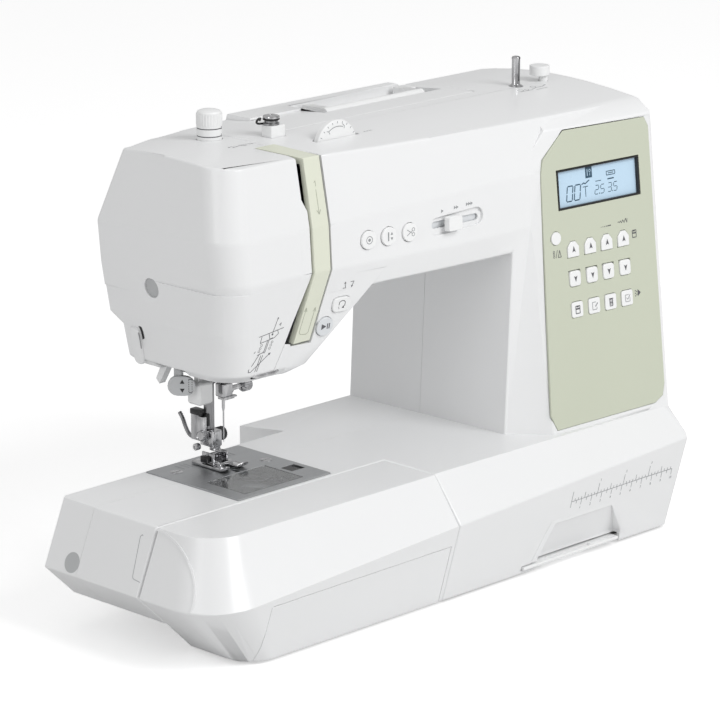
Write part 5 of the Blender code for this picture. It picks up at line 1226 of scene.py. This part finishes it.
def make_base_details():
    plane = from_front("front_cover", 158.0, 41.5)
    half = 50.0
    ruler = [("bar", -half, 0, half, 0, 0.3)]
    for i in range(21):
        x = -half + 5.0 * i
        ruler.append(("bar", x, 0, x, -4.2 if i % 2 == 0 else -2.2, 0.22))
    for i in range(32):
        x = -half + 3.175 * i
        tall = 7.4 if i % 8 == 0 else 4.2 if i % 4 == 0 else 1.8
        ruler.append(("bar", x, 0, x, tall, 0.22))
    for i in range(1, 11):
        ruler.append(("text", -half + 10.0 * i, -6.4, 2.6, str(i)))
    for i in range(1, 4):
        ruler.append(("text", -half + 25.4 * i + 0.8, 9.6, 2.6, str(i)))
    stamp("front_ruler", ruler, plane, "housing", PALE_INK, onto="front_cover")
    slot = block("tray_slot_cut", (98.0, -2.0, 1.0), (138.0, 1.4, 6.0), 0.4)
    notch = block("tray_notch_cut", (112.0, 4.0, 3.6), (150.0, 60.0, 5.2), 0.2)
    soft_skin("chart_tray", "chart_tray_skin", "tray", WHITE_PART, width=0.5, small=0.4,
              cutters=(slot, notch))


def seam(name, points, node, start, direction, body, width=0.45):
    """Fine dark line along a surface, through (u, v) points of the plane that a line of sight meets."""
    stamp(name, [("path", points, width, False)], face_out(node, start, direction), body, SEAM_LINE,
          onto=node, lift=0.02)


def make_table_details():
    tab = [(2.6, 18.6), (2.0, 19.0), (1.0, 18.4), (0.6, 17.4), (3.2, -5.6), (3.8, -7.0), (5.0, -7.4), (10.6, -8.0)]
    seam("arm_tab_line", tab, "front_cover", (-260, 62.0, 56.0), (1, 0, 0), "housing")
    arc = []
    for i in range(13):
        a = math.radians(90 * i / 12)
        arc.append((-8.0 + 42.0 * math.sin(a), -20.0 + 40.0 * math.cos(a)))
    stamp("table_end_lip", [("path", arc, 1.1, False)], from_left("extension_table", 41.0, 60.0), "table", WHITE,
          onto="extension_table", thick=0.7, lift=-0.1)
    # Painted shade: the dimple is not cut, a flat grey disc stands in for the shade in its hollow.
    dimple = slab("arm_dimple", rounded(12.6, 12.6, 6.29, 8), from_left("rear_cover", 111.0, 47.0), 0.3, low=-0.2)
    finish(dimple, "housing", PALE_GREY, smooth=0)


def make_side_details():
    for i, (x, z) in enumerate(REAR_SCREWS):
        where = face_out("rear_cover", (x, 260, z), (0, -1, 0))
        head = slab(f"rear_screw_{i + 1}", rounded(5.6, 5.6, 2.79, 6), where, 1.2, edge=0.2, low=-WELL_DEPTH)
        cross = [slab("screw_cross", rounded(a, b, 0.2, 2), where, 2.0, low=0.7 - WELL_DEPTH)
                 for a, b in ((3.4, 0.8), (0.8, 3.4))]
        finish(carve(head, *cross), "housing", STEEL)
    where = face_out("rear_cover", (176.0, 260, 96.0), (0, -1, 0))
    label = slab("rear_blank_plate", rounded(52, 24, 2.0), where, 0.15)
    finish(label, "housing", PALE_GREY, smooth=0)
    low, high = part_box("handwheel")
    inner = back(low).x
    wide = back(high).x - inner
    levels = [(27.6, 0), (28.6, 0.6), (29.0, 1.6), (29.0, wide - 6.0), (28.2, wide - 4.0), (26.0, wide - 1.6),
              (23.0, wide - 0.2), (21.6, wide), (20.8, wide - 0.6), (19.6, wide - 2.2), (8.0, wide - 3.2),
              (7.2, wide - 2.6), (6.2, wide - 2.0), (2.0, wide - 1.8)]
    wheel = stack("balance_wheel", (inner, 98, 218), (1, 0, 0), levels, 72)
    knurl(wheel, (inner, 98, 218), (1, 0, 0), 1.4, wide - 5.0, 0.97, every=3)
    finish(wheel, "drive", WHITE_PART, replaces=("handwheel",))
    soft_skin("power_inlet", "power_inlet_skin", "housing", BLACK, width=0.4, small=0.3)
    soft_skin("power_switch", "power_switch_skin", "rocker", BLACK, width=0.4, small=0.3)


# ---------------------------------------------------------------- main

make_camera()
make_studio()
paint_nodes()
make_housing()
make_panel()
make_keys()
make_arm_controls()
make_strip_marks()
make_face_details()
make_needle_area()
make_bed_fittings()
make_top_fittings()
make_base_details()
make_table_details()
make_side_details()
